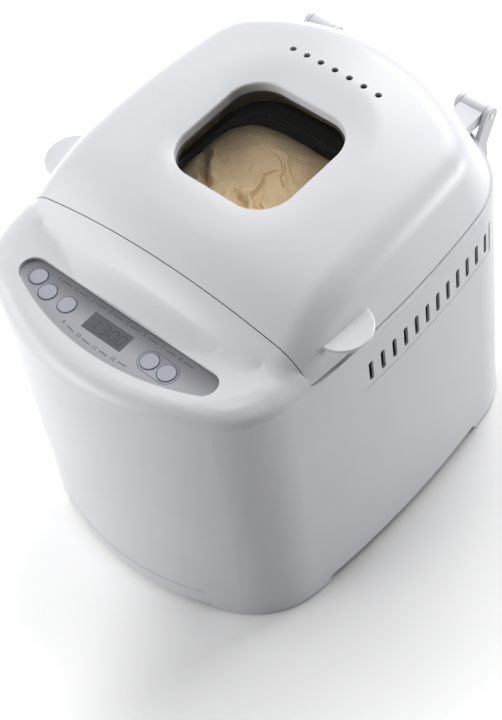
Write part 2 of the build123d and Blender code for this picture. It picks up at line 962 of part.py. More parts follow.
def chamber_legs():
    """Four Z shaped sheet legs between the drive frame and the chamber floor."""
    legs = []
    height = chamber_floor_z - frame_top
    half = leg_sheet / 2
    line = Polyline(
        (leg_foot, frame_top + half),
        (0, frame_top + half),
        (0, frame_top + height - half),
        (-leg_foot, frame_top + height - half),
    )
    section = Plane.XZ * trace(line, leg_sheet)
    for sx in (-1, 1):
        for sy in (-1, 1):
            leg = extrude(section, leg_width / 2, both=True)
            if sx < 0:
                leg = mirror(leg, Plane.YZ)
            legs.append(Pos(sx * leg_x, pan_y + sy * leg_y, 0) * leg)
    return group(legs)


def heating_element():
    x = chamber_width / 2 - element_side_gap
    y = chamber_length / 2 - element_side_gap
    out = chamber_length / 2 + terminal_length
    corners = [
        (-terminal_half_gap, -out),
        (-terminal_half_gap, -y),
        (-x, -y),
        (-x, y),
        (x, y),
        (x, -y),
        (terminal_half_gap, -y),
        (terminal_half_gap, -out),
    ]
    bends = [terminal_bend] + 4 * [element_bend] + [terminal_bend]
    path = FilletPolyline(*[(px, pan_y + py, element_z) for px, py in corners], radius=bends)
    return sweep(Plane(path @ 0, z_dir=path % 0) * Circle(element_radius), path)


def element_bushings():
    bushings = []
    front = pan_y - chamber_length / 2 - chamber_sheet
    for x in terminal_places():
        start = front - bushing_flange
        bushing = rod_y(x, element_z, bushing_radius, start, start + bushing_length)
        bushing += rod_y(x, element_z, bushing_radius + bushing_flange, start, front)
        bushings.append(bushing - rod_y(x, element_z, element_radius + snug, start, start + bushing_length))
    return group(bushings)


def temperature_sensor():
    outside = -chamber_width / 2 - chamber_sheet
    probe = rod_x(pan_y, sensor_z, sensor_radius, outside, sensor_reach - chamber_width / 2)
    probe = fillet(probe.edges().sort_by(Axis.X)[-1], sensor_radius / 2)
    plate = box_between(
        (outside - leg_sheet, pan_y - sensor_plate / 2, sensor_z - sensor_radius * 2),
        (outside, pan_y + sensor_plate / 2, sensor_z + sensor_radius * 2),
    )
    return probe + plate


def pan_socket():
    inner = pan_foot_radius + socket_gap
    outer = inner + socket_wall
    flange = outer + socket_flange
    base = chamber_inside_z
    ring = turned(
        [
            (inner - socket_wall, base),
            (flange, base),
            (flange, base + socket_flange_thickness),
            (outer, base + socket_flange_thickness),
            (outer, base + socket_height),
            (inner, base + socket_height),
            (inner, base + socket_flange_thickness),
            (inner - socket_wall, base + socket_flange_thickness),
        ],
        0,
        pan_y,
    )
    window = box_between(
        (-flange, pan_y - clip_width / 2 - fit, base + socket_flange_thickness),
        (flange, pan_y + clip_width / 2 + fit, base + socket_height),
    )
    return ring - window


def socket_clips():
    """Two leaf springs that grip the foot of the pan."""
    inner = pan_foot_radius + fit
    base = chamber_inside_z + socket_flange_thickness
    top = base + socket_height
    tail = inner + socket_wall + socket_flange - fit
    line = Polyline(
        (tail, base + clip_sheet / 2),
        (inner + 2 * clip_sheet, base + clip_sheet / 2),
        (inner + clip_sheet / 2, (base + top) / 2),
        (inner + 2 * clip_sheet, top),
    )
    clip = extrude(Plane.XZ * trace(line, clip_sheet), clip_width / 2, both=True)
    return group([Pos(0, pan_y, 0) * solid for solid in mirrored_pair(clip)])


# Bread pan

def pan_form(inset=0.0):
    """Tapered pan with round corners and a round bottom edge."""
    low = Pos(0, pan_y, pan_floor_z + inset) * RectangleRounded(
        pan_width - 2 * pan_taper - 2 * inset,
        pan_length - 2 * pan_taper - 2 * inset,
        pan_corner - pan_taper - inset,
    )
    high = Pos(0, pan_y, pan_rim_z) * RectangleRounded(
        pan_width - 2 * inset, pan_length - 2 * inset, pan_corner - inset
    )
    form = loft([low, high], ruled=True)
    return fillet(form.faces().sort_by(Axis.Z)[0].edges(), pan_bottom_round - inset)


def bread_pan():
    inside = pan_form(pan_wall)
    rim = block(
        0,
        pan_y,
        pan_rim_z - pan_rim_thickness,
        pan_width + 2 * pan_rim_reach,
        pan_length + 2 * pan_rim_reach,
        pan_rim_thickness,
        pan_corner + pan_rim_reach,
    )
    pan = pan_form() + rim - inside
    return pan - disc(0, pan_y, pan_floor_z, pan_bush_neck + snug, pan_wall)


def pan_ears():
    """Blocks on the ends of the pan that hold the handle."""
    ear = box_between(
        (pan_width / 2 - pan_taper, pan_y - ear_width / 2, bail_z - ear_height / 2),
        (pan_width / 2 + ear_reach, pan_y + ear_width / 2, bail_z + ear_height / 2),
    )
    ear = fillet(ear.edges().filter_by(Axis.X), ear_height / 4)
    ear -= pan_form()
    ear -= rod_x(pan_y, bail_z, bail_radius + fit, 0, body_width)
    return group(mirrored_pair(ear))


def pan_foot():
    inner = pan_foot_radius - pan_foot_wall
    flange = pan_foot_radius + pan_foot_flange
    plate_z = pan_floor_z - pan_foot_plate
    return turned(
        [
            (pan_bush_radius + snug, plate_z),
            (inner, plate_z),
            (inner, pan_foot_z),
            (pan_foot_radius, pan_foot_z),
            (pan_foot_radius, plate_z),
            (flange, plate_z),
            (flange, pan_floor_z),
            (pan_bush_radius + snug, pan_floor_z),
        ],
        0,
        pan_y,
    )


def pan_bush():
    low = pan_dog_z + dog_plate + dog_gap
    top = pan_floor_z + pan_wall + paddle_lift - fit
    bore = pan_shaft_radius + running
    return turned(
        [
            (bore, low),
            (pan_bush_radius, low),
            (pan_bush_radius, pan_floor_z),
            (pan_bush_neck, pan_floor_z),
            (pan_bush_neck, top),
            (bore, top),
        ],
        0,
        pan_y,
    )


def dough():
    """Risen dough: a soft loaf with room for the paddle underneath."""
    base = pan_floor_z + pan_wall + fit
    width = pan_width - 2 * pan_wall - 2 * dough_side_gap - pan_taper
    length = pan_length - 2 * pan_wall - 2 * dough_side_gap - pan_taper
    levels = [(0.0, 0.86), (0.6, 1.0), (0.87, 0.93), (1.0, 0.46)]
    sections = []
    for height, share in levels:
        corner = share * length * 0.42
        outline = RectangleRounded(share * width, share * length, corner)
        sections.append(Pos(0, pan_y, base + height * dough_height) * outline)
    loaf = loft(sections)
    room = paddle_reach + dough_paddle_gap
    return loaf - disc(0, pan_y, base, room, paddle_z + paddle_height + dough_paddle_gap - base)


def pan_handle():
    hook = pan_width / 2 + ear_reach / 2
    corners = [
        (hook, 0),
        (bail_x, 0),
        (bail_x, -bail_length),
        (-bail_x, -bail_length),
        (-bail_x, 0),
        (-hook, 0),
    ]
    bends = [bail_hook_bend, bail_bend, bail_bend, bail_hook_bend]
    path = FilletPolyline(*[(x, pan_y + y, bail_z) for x, y in corners], radius=bends)
    return sweep(Plane(path @ 0, z_dir=path % 0) * Circle(bail_radius), path)


# Paddle and dogs

def dog_lugs(z, turn):
    """Two facing lugs of a dog coupling."""
    sector = Sketch()
    for start in (turn, turn + 180):
        wedge = make_face(
            [
                Line((0, 0), (2 * dog_radius * cos(radians(start)), 2 * dog_radius * sin(radians(start)))),
                CenterArc((0, 0), 2 * dog_radius, start, dog_lug_angle),
                Line(
                    (
                        2 * dog_radius * cos(radians(start + dog_lug_angle)),
                        2 * dog_radius * sin(radians(start + dog_lug_angle)),
                    ),
                    (0, 0),
                ),
            ]
        )
        sector += wedge & (Circle(dog_radius) - Circle(dog_lug_inner))
    return extrude(Pos(0, pan_y, z) * sector, dog_lug_height)


def drive_dog():
    dog = disc(0, pan_y, dog_z, dog_radius, dog_plate) + dog_lugs(dog_lug_z, 0)
    return dog - disc(0, pan_y, dog_z, shaft_radius + snug, dog_plate)


def pan_dog():
    dog = disc(0, pan_y, pan_dog_z, dog_radius, dog_plate)
    dog += dog_lugs(pan_dog_z - dog_lug_height, 90)
    return dog - disc(0, pan_y, pan_dog_z, pan_shaft_radius + snug, dog_plate)


def pan_shaft():
    return disc(0, pan_y, pan_dog_z, pan_shaft_radius, paddle_z + paddle_hub_height * 0.8 - pan_dog_z)


def kneading_paddle():
    top = paddle_z + paddle_hub_height
    hub = turned(
        [(0, paddle_z), (paddle_hub_radius, paddle_z), (paddle_hub_radius * 0.75, top), (0, top)], 0, pan_y
    )
    tip_z = paddle_z + paddle_height * 0.55
    corners = [
        (0, paddle_z),
        (paddle_reach, paddle_z),
        (paddle_reach, tip_z),
        (0, paddle_z + paddle_height),
    ]
    outline = make_face(Polyline(*corners, close=True))
    tips = [corner for corner in outline.vertices() if corner.X > 1]
    outline = fillet(tips, paddle_thickness)
    blade = extrude(Plane.XZ * outline, paddle_thickness / 2, both=True)
    paddle = hub + Pos(0, pan_y, 0) * blade
    return paddle - disc(0, pan_y, paddle_z, pan_shaft_radius + snug, paddle_hub_height * 0.8)


# Drive

def drive_frame():
    rear = box_between(
        (-frame_rear_width / 2, frame_step_y, frame_z), (frame_rear_width / 2, frame_rear_y, frame_top)
    )
    front = box_between(
        (-frame_front_width / 2, frame_front_y, frame_z), (frame_front_width / 2, frame_step_y, frame_top)
    )
    frame = rear + front
    frame = fillet(frame.edges().filter_by(Axis.Z), frame_corner)
    for side in (-1, 1):
        edge = side * (frame_rear_width - frame_sheet) / 2
        frame += box_between(
            (edge - frame_sheet / 2, frame_step_y + frame_corner, frame_z - frame_flange),
            (edge + frame_sheet / 2, frame_rear_y - frame_corner, frame_z),
        )
    frame -= disc(0, pan_y, frame_z, bearing_tube_radius + fit, frame_sheet)
    frame -= disc(0, motor_y, frame_z, motor_boss_radius + 1, frame_sheet)
    for x, y in post_places:
        frame -= disc(x, y, frame_z, screw_radius + fit, frame_sheet)
    return frame


def frame_screws():
    return group([screw_down(x, y, frame_top, screw_length - fit) for x, y in post_places])


def bearing_screw_places():
    ring = (bearing_tube_radius + bearing_flange_radius) / 2
    angles = [radians(angle) for angle in (30, 150, 270)]
    return [(ring * cos(angle), pan_y + ring * sin(angle)) for angle in angles]


def bearing_housing():
    bore = bush_radius + snug
    housing = turned(
        [
            (bore, bearing_bottom),
            (bearing_tube_radius, bearing_bottom),
            (bearing_tube_radius, frame_top),
            (bearing_flange_radius, frame_top),
            (bearing_flange_radius, frame_top + bearing_flange_thickness),
            (bearing_tube_radius, frame_top + 2 * bearing_flange_thickness),
            (bearing_tube_radius, bearing_top),
            (bore, bearing_top),
        ],
        0,
        pan_y,
    )
    for x, y in bearing_screw_places():
        housing -= disc(x, y, frame_top, screw_radius + snug, 2 * bearing_flange_thickness)
    return housing


def bearing_bushes():
    bushes = []
    for z in (bearing_bottom, bearing_top - bush_length):
        ring = disc(0, pan_y, z, bush_radius, bush_length)
        bushes.append(ring - disc(0, pan_y, z, shaft_radius + running, bush_length))
    return group(bushes)


def drive_shaft():
    low = pulley_bottom - pulley_flange
    return disc(0, pan_y, low, shaft_radius, dog_lug_z - low)


def belt_pulley(y, radius, bore, hub_top):
    """Flanged pulley with a web and a hub."""
    inner = radius - pulley_rim
    flange = radius + pulley_flange
    web_low = (pulley_bottom + pulley_top - pulley_web) / 2
    web_high = web_low + pulley_web
    return turned(
        [
            (bore, pulley_bottom),
            (pulley_hub_radius, pulley_bottom),
            (pulley_hub_radius, web_low),
            (inner, web_low),
            (inner, pulley_bottom),
            (flange, pulley_bottom),
            (flange, pulley_bottom + pulley_flange_thickness),
            (radius, pulley_bottom + pulley_flange_thickness),
            (radius, pulley_top - pulley_flange_thickness),
            (flange, pulley_top - pulley_flange_thickness),
            (flange, pulley_top),
            (inner, pulley_top),
            (inner, web_high),
            (pulley_hub_radius, web_high),
            (pulley_hub_radius, hub_top),
            (bore, hub_top),
        ],
        0,
        y,
    )


def drive_pulley():
    pulley = belt_pulley(pan_y, pulley_radius, shaft_radius + snug, bearing_bottom - fit)
    for place in PolarLocations(pulley_hole_place, pulley_hole_count):
        hole = place * Circle(pulley_hole_radius)
        pulley -= extrude(Pos(0, pan_y, pulley_bottom) * hole, pulley_width)
    return pulley


def motor_pulley():
    bore = motor_shaft_radius + snug
    flange = motor_pulley_radius + pulley_flange
    return turned(
        [
            (bore, pulley_bottom),
            (flange, pulley_bottom),
            (flange, pulley_bottom + pulley_flange_thickness),
            (motor_pulley_radius, pulley_bottom + pulley_flange_thickness),
            (motor_pulley_radius, pulley_top - pulley_flange_thickness),
            (flange, pulley_top - pulley_flange_thickness),
            (flange, pulley_top),
            (bore, pulley_top),
        ],
        0,
        motor_y,
    )


def belt_loop(grow):
    """Outline round both pulleys."""
    large = Pos(0, pan_y) * Circle(pulley_radius + grow)
    small = Pos(0, motor_y) * Circle(motor_pulley_radius + grow)
    return make_hull(large.edges() + small.edges())


def drive_belt():
    loop = belt_loop(fit + belt_thickness) - belt_loop(fit)
    return extrude(Pos(0, 0, belt_z) * loop, belt_width)


# Motor

def bolt_places():
    return [(sx * motor_bolt_place, motor_y + sy * motor_bolt_place) for sx in (-1, 1) for sy in (-1, 1)]


def motor_block(z, height):
    """Square motor section with its four bolt holes."""
    body = block(0, motor_y, z, motor_size, motor_size, height, motor_corner)
    for x, y in bolt_places():
        body -= disc(x, y, z, motor_bolt_radius + snug, height)
    return body


def motor_stator():
    bore = disc(0, motor_y, stack_z, rotor_radius + rotor_gap, stack_height)
    return motor_block(stack_z, stack_height) - bore


def motor_windings():
    rings = []
    for z in (stack_z - winding_height, stack_z + stack_height):
        ring = disc(0, motor_y, z, winding_outer, winding_height)
        ring -= disc(0, motor_y, z, winding_inner, winding_height)
        rings.append(fillet(ring.edges(), winding_height / 5))
    return group(rings)


def motor_bell(z, plate_z):
    """End frame of the motor: a plate with a shaft boss and four corner pillars."""
    bell = motor_block(z, bell_height)
    hollow_z = z if plate_z > z else z + bell_plate
    hollow = bell_height - bell_plate
    bell -= disc(0, motor_y, hollow_z, winding_outer + bell_gap, hollow)
    half = bell_window / 2
    hollow_top = hollow_z + hollow
    bell -= box_between((-half, motor_y - motor_size, hollow_z), (half, motor_y + motor_size, hollow_top))
    bell -= box_between((-motor_size, motor_y - half, hollow_z), (motor_size, motor_y + half, hollow_top))
    boss_z = plate_z - bell_plate if plate_z > z else plate_z
    bell += disc(0, motor_y, boss_z, motor_boss_radius, 2 * bell_plate)
    return bell - disc(0, motor_y, z, motor_shaft_radius + running, bell_height)


def motor_lower_bell():
    return motor_bell(frame_top, frame_top)


def motor_upper_bell():
    return motor_bell(stack_z + stack_height, motor_top - bell_plate)


def motor_bolts():
    bolts = []
    for x, y in bolt_places():
        bolt = disc(x, y, frame_top, motor_bolt_radius, motor_top - frame_top)
        bolts.append(bolt + disc(x, y, motor_top, screw_head_radius, screw_head_height))
    return group(bolts)


def motor_rotor():
    rotor = disc(0, motor_y, stack_z, rotor_radius, stack_height)
    low = pulley_bottom - pulley_flange
    return rotor + disc(0, motor_y, low, motor_shaft_radius, motor_top + fan_lift + fan_height - low)


def motor_fan():
    z = motor_top + fan_lift
    fan = disc(0, motor_y, z, fan_radius, fan_blade_thickness)
    fan += disc(0, motor_y, z, motor_boss_radius, fan_height)
    start = motor_boss_radius - fan_blade_thickness
    end = fan_radius - fan_blade_thickness
    for index in range(fan_blades):
        blade = box_between((start, -fan_blade_thickness / 2, 0), (end, fan_blade_thickness / 2, fan_height))
        fan += Pos(0, motor_y, z) * Rot(0, 0, index * 360 / fan_blades) * blade
    return fan - disc(0, motor_y, z, motor_shaft_radius + snug, fan_height)


def capacitor():
    width, length, height = capacitor_size
    x, y = capacitor_place
    case = block(x, y, base_top, width, length, height, length / 8)
    return fillet(case.faces().sort_by(Axis.Z)[-1].edges(), length / 12)


def power_board():
    """Board with a relay, a transformer and two round capacitors standing on it."""
    x, y = power_board_place
    width, length = power_board_size
    z = base_top + power_board_lift
    top = z + board_thickness
    board = box_between((x - width / 2, y - length / 2, z), (x + width / 2, y + length / 2, top))
    relay = block(x - width / 5, y + length / 4, top, width / 3, length / 4, width / 3, 1.0)
    transformer = block(x, y - length / 4, top, width * 0.7, length / 3, width * 0.45, 2.0)
    cans = [disc(x + width / 4, y + length * share, top, width / 9, width / 2.5) for share in (0.12, 0.34)]
    return group([board, relay, transformer] + cans)


def cord_gland():
    """Rubber ring in the back wall where the supply lead would pass."""
    outside = back_wall_y(0)
    inside = outside - wall
    reach = gland_flange_thickness + fit
    gland = rod_y(0, gland_z, gland_neck, inside - reach, outside + reach)
    gland += rod_y(0, gland_z, gland_flange, outside + fit, outside + reach)
    gland += rod_y(0, gland_z, gland_flange, inside - reach, inside - fit)
    return gland - rod_y(0, gland_z, gland_bore, inside - reach, outside + reach)


PIECES = [
    body_shell,
    base_plate,
    rubber_feet,
    base_screws,
    top_deck,
    control_fascia,
    control_insert,
    display_lens,
    display_module,
    control_board,
    tact_switches,
    lid_shell,
    lid_liner,
    lid_screws,
    window_glass,
    window_gasket,
    hinge_brackets,
    hinge_pins,
    oven_chamber,
    chamber_legs,
    heating_element,
    element_bushings,
    temperature_sensor,
    pan_socket,
    socket_clips,
    bread_pan,
    pan_ears,
    pan_foot,
    pan_bush,
    dough,
    pan_handle,
    pan_shaft,
    pan_dog,
    kneading_paddle,
    drive_frame,
    frame_screws,
    bearing_housing,
    bearing_bushes,
    drive_shaft,
    drive_dog,
    drive_pulley,
    drive_belt,
    motor_pulley,
    motor_stator,
    motor_windings,
    motor_lower_bell,
    motor_upper_bell,
    motor_bolts,
    motor_rotor,
    motor_fan,
    capacitor,
    power_board,
    cord_gland,
]


def main():
    os.makedirs("parts", exist_ok=True)
    for piece in PIECES:
        export_step(piece(), f"parts/{piece.__name__}.step")
    for name, place in button_places.items():
        export_step(control_button(place), f"parts/{name}.step")


main()
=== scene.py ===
# %% [markdown]
# # A bread machine
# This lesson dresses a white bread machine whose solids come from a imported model. The solids already have
# the right shapes, so most of the work is finishes: gloss white moulding, a silver control insert, dark
# coated metal inside. Only what is soft or printed is made here: the soft ends of the control deck, the
# dough, the outlines round the buttons, the digits of the display and the numbers of the programs.

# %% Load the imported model
import json
import math
import bmesh
import bpy
import numpy as np
from mathutils import Matrix, Vector


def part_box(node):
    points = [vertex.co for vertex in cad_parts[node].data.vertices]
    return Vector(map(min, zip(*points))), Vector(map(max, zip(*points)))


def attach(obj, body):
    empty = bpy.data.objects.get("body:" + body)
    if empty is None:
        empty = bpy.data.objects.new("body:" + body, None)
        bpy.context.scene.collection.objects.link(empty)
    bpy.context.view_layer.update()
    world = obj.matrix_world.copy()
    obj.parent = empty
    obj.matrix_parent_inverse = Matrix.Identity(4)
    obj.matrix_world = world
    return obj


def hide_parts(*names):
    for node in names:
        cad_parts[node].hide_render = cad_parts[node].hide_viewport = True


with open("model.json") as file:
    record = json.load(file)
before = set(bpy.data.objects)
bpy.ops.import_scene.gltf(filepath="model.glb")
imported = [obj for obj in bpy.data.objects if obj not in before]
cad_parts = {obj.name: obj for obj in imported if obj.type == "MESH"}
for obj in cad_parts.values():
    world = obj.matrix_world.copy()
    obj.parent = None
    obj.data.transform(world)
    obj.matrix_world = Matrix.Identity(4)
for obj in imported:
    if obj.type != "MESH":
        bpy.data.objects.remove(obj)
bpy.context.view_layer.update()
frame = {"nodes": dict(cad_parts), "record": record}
nodes = frame["nodes"]
slot_of = {part["node"]: part["material_slot"] for part in frame["record"]["subparts"]}

# %% [markdown]
# The camera looks down on the front right corner, a little tilted. Turn, height and tilt are angles, and
# the focal length is counted in pixels of a picture of 502 by 720. A camera looks along its own -Z, so its
# three axes are written down directly: right, up and back.

# %% Camera at the viewing angle of the photograph
picture_width, picture_height = 502, 720
view_turn = math.radians(50.71)
view_height = math.radians(52.81)
view_tilt = math.radians(-10.93)
focal_pixels = 1887.8
view_distance = 1.5252
aim_pixel = (277.6, 418.3)

back = Vector((math.sin(view_turn) * math.cos(view_height),
               -math.cos(view_turn) * math.cos(view_height),
               math.sin(view_height)))
level_right = Vector((math.cos(view_turn), math.sin(view_turn), 0))
level_up = back.cross(level_right)
right = math.cos(view_tilt) * level_right + math.sin(view_tilt) * level_up
up = math.cos(view_tilt) * level_up - math.sin(view_tilt) * level_right
slide_right = (aim_pixel[0] - picture_width / 2) * view_distance / focal_pixels
slide_up = (picture_height / 2 - aim_pixel[1]) * view_distance / focal_pixels
eye = view_distance * back - slide_right * right - slide_up * up

camera_data = bpy.data.cameras.new("camera")
camera_data.sensor_fit = "VERTICAL"
camera_data.sensor_height = 36
camera_data.lens = focal_pixels * camera_data.sensor_height / picture_height
camera = bpy.data.objects.new("camera", camera_data)
turn = Matrix((right, up, back)).transposed()
camera.matrix_world = Matrix.Translation(eye) @ turn.to_4x4()
bpy.context.scene.collection.objects.link(camera)
bpy.context.scene.camera = camera
print("lens", round(camera_data.lens, 1), "eye", [round(v, 3) for v in eye])

# %% [markdown]
# A photographer lights a white object with large soft sources and lets one side fall darker, or the form
# disappears. Here most of the light comes from behind. Weaker lamps stand at the left, at the front left, low
# at the back right and above, so the corner towards the camera gets the least.

# %% Soft studio light
scene = bpy.context.scene
scene.view_settings.view_transform = "Standard"
body_middle = Vector((0, 0, 0.15))


def soft_lamp(name, place, size, power):
    """Rectangular area lamp at a place, turned towards the middle of the body."""
    data = bpy.data.lights.new(name, "AREA")
    data.shape = "RECTANGLE"
    data.size, data.size_y = size
    data.energy = power
    lamp = bpy.data.objects.new(name, data)
    aim = (body_middle - Vector(place)).to_track_quat("-Z", "Y")
    lamp.matrix_world = Matrix.Translation(place) @ aim.to_matrix().to_4x4()
    scene.collection.objects.link(lamp)


soft_lamp("lamp_back", place=(-0.2, 2.2, 1.85), size=(2.4, 1.4), power=71)
soft_lamp("lamp_front_left", place=(-1.0, -1.9, 0.8), size=(1.2, 1.0), power=26)
soft_lamp("lamp_left", place=(-2.0, -1.1, 1.0), size=(1.2, 1.0), power=15)
soft_lamp("lamp_right_back", place=(1.8, 1.75, 0.34), size=(1.2, 0.5), power=28)
soft_lamp("lamp_top", place=(-0.4, 0.1, 2.3), size=(1.6, 1.6), power=14)

# %% [markdown]
# The world is white to the camera, mirrors and glass, and a dim grey to everything else, so a white
# background doesn't wash out the shadows.

# %% White world
def seen_directly(tree):
    """Socket that is 1 where the camera, a mirror or glass looks, and 0 for light that falls on surfaces."""
    path = tree.nodes.new("ShaderNodeLightPath")
    seen = path.outputs["Is Camera Ray"]
    for ray in ("Is Glossy Ray", "Is Transmission Ray"):
        larger = tree.nodes.new("ShaderNodeMath")
        larger.operation = "MAXIMUM"
        tree.links.new(seen, larger.inputs[0])
        tree.links.new(path.outputs[ray], larger.inputs[1])
        seen = larger.outputs[0]
    return seen


def dim_world(strength):
    """World that is white where the camera, a mirror or glass sees it, and a dim grey light elsewhere."""
    world = bpy.data.worlds.new("studio")
    world.use_nodes = True
    tree = world.node_tree
    tree.nodes.clear()
    light = tree.nodes.new("ShaderNodeBackground")
    light.inputs["Color"].default_value = (0.95, 0.97, 1, 1)
    light.inputs["Strength"].default_value = strength
    bright = tree.nodes.new("ShaderNodeBackground")
    bright.inputs["Color"].default_value = (1, 1, 1, 1)
    mix = tree.nodes.new("ShaderNodeMixShader")
    tree.links.new(seen_directly(tree), mix.inputs[0])
    tree.links.new(light.outputs[0], mix.inputs[1])
    tree.links.new(bright.outputs[0], mix.inputs[2])
    output = tree.nodes.new("ShaderNodeOutputWorld")
    tree.links.new(mix.outputs[0], output.inputs["Surface"])
    return world


scene.world = dim_world(strength=0.03)
print("world", scene.world.name)

# %% [markdown]
# Most new surfaces in this lesson are grids of points worked out with numpy and turned into quads at once.
# One helper does that for all of them. A side that wraps round joins its last row to its first. Faces have
# to point outwards: the sign of a closed shape's volume tells whether they do, and the helper turns them if
# not.

# %% Grid of points to a mesh
merge_gap = 1e-7


def mesh_object(name, points, faces, smooth=True):
    """Object of points and faces, with points in the same place merged."""
    mesh = bpy.data.meshes.new(name)
    mesh.from_pydata(np.asarray(points).tolist(), [], faces)
    shape = bmesh.new()
    shape.from_mesh(mesh)
    bmesh.ops.remove_doubles(shape, verts=shape.verts, dist=merge_gap)
    shape.to_mesh(mesh)
    shape.free()
    mesh.polygons.foreach_set("use_smooth", np.full(len(mesh.polygons), smooth))
    mesh.update()
    made = bpy.data.objects.new(name, mesh)
    scene.collection.objects.link(made)
    return made


def grid_object(name, points, wrap_rows=False, wrap_columns=False, smooth=True):
    """Object whose quads join neighbouring points of an array of rows by columns by 3."""
    rows, columns = points.shape[:2]
    index = np.arange(rows * columns).reshape(rows, columns)
    if wrap_rows:
        index = np.vstack([index, index[:1]])
    if wrap_columns:
        index = np.hstack([index, index[:, :1]])
    quads = np.stack([index[:-1, :-1], index[:-1, 1:], index[1:, 1:], index[1:, :-1]], axis=-1)
    quads = quads.reshape(-1, 4)
    corners = points.reshape(-1, 3)[quads]
    diagonals = np.cross(corners[:, 2] - corners[:, 0], corners[:, 3] - corners[:, 1])
    if np.sum((corners.mean(axis=1) - points.reshape(-1, 3).mean(axis=0)) * diagonals) < 0:
        quads = quads[:, ::-1]
    return mesh_object(name, points.reshape(-1, 3), quads.tolist(), smooth)


print("grids ready")

# %% [markdown]
# The floor is a plain pale sheet. It is a wide disc of rings, so no edge of it comes into the picture from
# any side.

# %% Floor
def floor_points(radius, rings, spokes):
    """Flat disc: the radius of each ring grows with the square of its number, from 0 to the full radius."""
    far = radius * (np.arange(rings + 1) / rings) ** 2
    angle = np.arange(spokes) * 2 * np.pi / spokes
    circle = np.stack([np.cos(angle), np.sin(angle), np.zeros(spokes)], axis=-1)
    return far[:, None, None] * circle[None]


floor = grid_object("floor", floor_points(radius=9, rings=12, spokes=64), wrap_columns=True)
print("floor faces", len(floor.data.polygons))

# %% [markdown]
# A finish is a tree of nodes. A few short functions add the nodes that come up again and again: groups, sums,
# noise, ranges and blends of colours.

# %% Node helpers
def group_of(name, inputs, outputs):
    """Empty shader node group with float inputs and outputs, and its two end nodes."""
    tree = bpy.data.node_groups.new(name, "ShaderNodeTree")
    for title, value in inputs:
        socket = tree.interface.new_socket(title, in_out="INPUT", socket_type="NodeSocketFloat")
        socket.default_value = value
    for title in outputs:
        tree.interface.new_socket(title, in_out="OUTPUT", socket_type="NodeSocketFloat")
    start = tree.nodes.new("NodeGroupInput")
    end = tree.nodes.new("NodeGroupOutput")
    return tree, start, end


def maths(tree, operation, first, second=None, clamp=False):
    """Math node whose inputs are sockets or numbers, giving its output socket."""
    node = tree.nodes.new("ShaderNodeMath")
    node.operation = operation
    node.use_clamp = clamp
    for socket, value in zip(node.inputs, (first, second)):
        if value is None:
            continue
        if isinstance(value, (int, float)):
            socket.default_value = value
        else:
            tree.links.new(value, socket)
    return node.outputs[0]


def noise(tree, scale, detail=2.0, roughness=0.5, stretch=None):
    """Noise on Object coordinates, drawn out along an axis where a stretch is given."""
    place = tree.nodes.new("ShaderNodeTexCoord").outputs["Object"]
    if stretch is not None:
        mapping = tree.nodes.new("ShaderNodeMapping")
        mapping.inputs["Scale"].default_value = stretch
        tree.links.new(place, mapping.inputs["Vector"])
        place = mapping.outputs["Vector"]
    node = tree.nodes.new("ShaderNodeTexNoise")
    node.inputs["Detail"].default_value = detail
    node.inputs["Roughness"].default_value = roughness
    tree.links.new(place, node.inputs["Vector"])
    if isinstance(scale, (int, float)):
        node.inputs["Scale"].default_value = scale
    else:
        tree.links.new(scale, node.inputs["Scale"])
    return node.outputs["Fac"]


def spread(tree, value, low, high):
    """Map Range: 0 to 1 becomes low to high."""
    node = tree.nodes.new("ShaderNodeMapRange")
    node.inputs["To Min"].default_value = low
    node.inputs["To Max"].default_value = high
    tree.links.new(value, node.inputs["Value"])
    return node.outputs["Result"]


def mix_colours(tree, share, first, second):
    """Blend of two colours by a share that changes over the surface."""
    node = tree.nodes.new("ShaderNodeMix")
    node.data_type = "RGBA"
    tree.links.new(share, node.inputs["Factor"])
    plain = [s for s in node.inputs if s.type == "RGBA"]
    plain[0].default_value = (*first, 1)
    if isinstance(second, tuple):
        plain[1].default_value = (*second, 1)
    else:
        tree.links.new(second, plain[1])
    return [s for s in node.outputs if s.type == "RGBA"][0]


print("node helpers ready")

# %% [markdown]
# Each finish starts from a Principled shader. Effects that several finishes share are node groups: they give
# out values that change over the surface, and each finish places them with its own scale and depth.

# %% Start of a finish
def new_finish(name, roughness, metallic=0.0):
    """Material with its tree and Principled shader, set to plain values."""
    material = bpy.data.materials.new(name)
    material.use_nodes = True
    tree = material.node_tree
    shader = tree.nodes["Principled BSDF"]
    shader.inputs["Roughness"].default_value = roughness
    shader.inputs["Metallic"].default_value = metallic
    return material, tree, shader


def place_group(tree, group, **values):
    """Group node in a material with its own input values."""
    node = tree.nodes.new("ShaderNodeGroup")
    node.node_tree = group
    for title, value in values.items():
        node.inputs[title].default_value = value
    return node


def add_bump(tree, shader, height, strength, distance):
    """Bump node from a height to the shader's normal."""
    bump = tree.nodes.new("ShaderNodeBump")
    bump.inputs["Strength"].default_value = strength
    bump.inputs["Distance"].default_value = distance
    tree.links.new(height, bump.inputs["Height"])
    tree.links.new(bump.outputs["Normal"], shader.inputs["Normal"])


print("finish helpers ready")

# %% [markdown]
# Three effects are shared. Moulded skin is the fine orange peel and slow waviness of injected plastic.
# Handling is the patchy change of gloss where hands and cloths have been. Drawn lines are the long fine
# scratches of rolled or brushed metal.

# %% Shared effects
def sharpened(tree, value, start, gain):
    """Value less the start, times the gain, held between 0 and 1."""
    return maths(tree, "MULTIPLY", maths(tree, "SUBTRACT", value, start), gain, clamp=True)


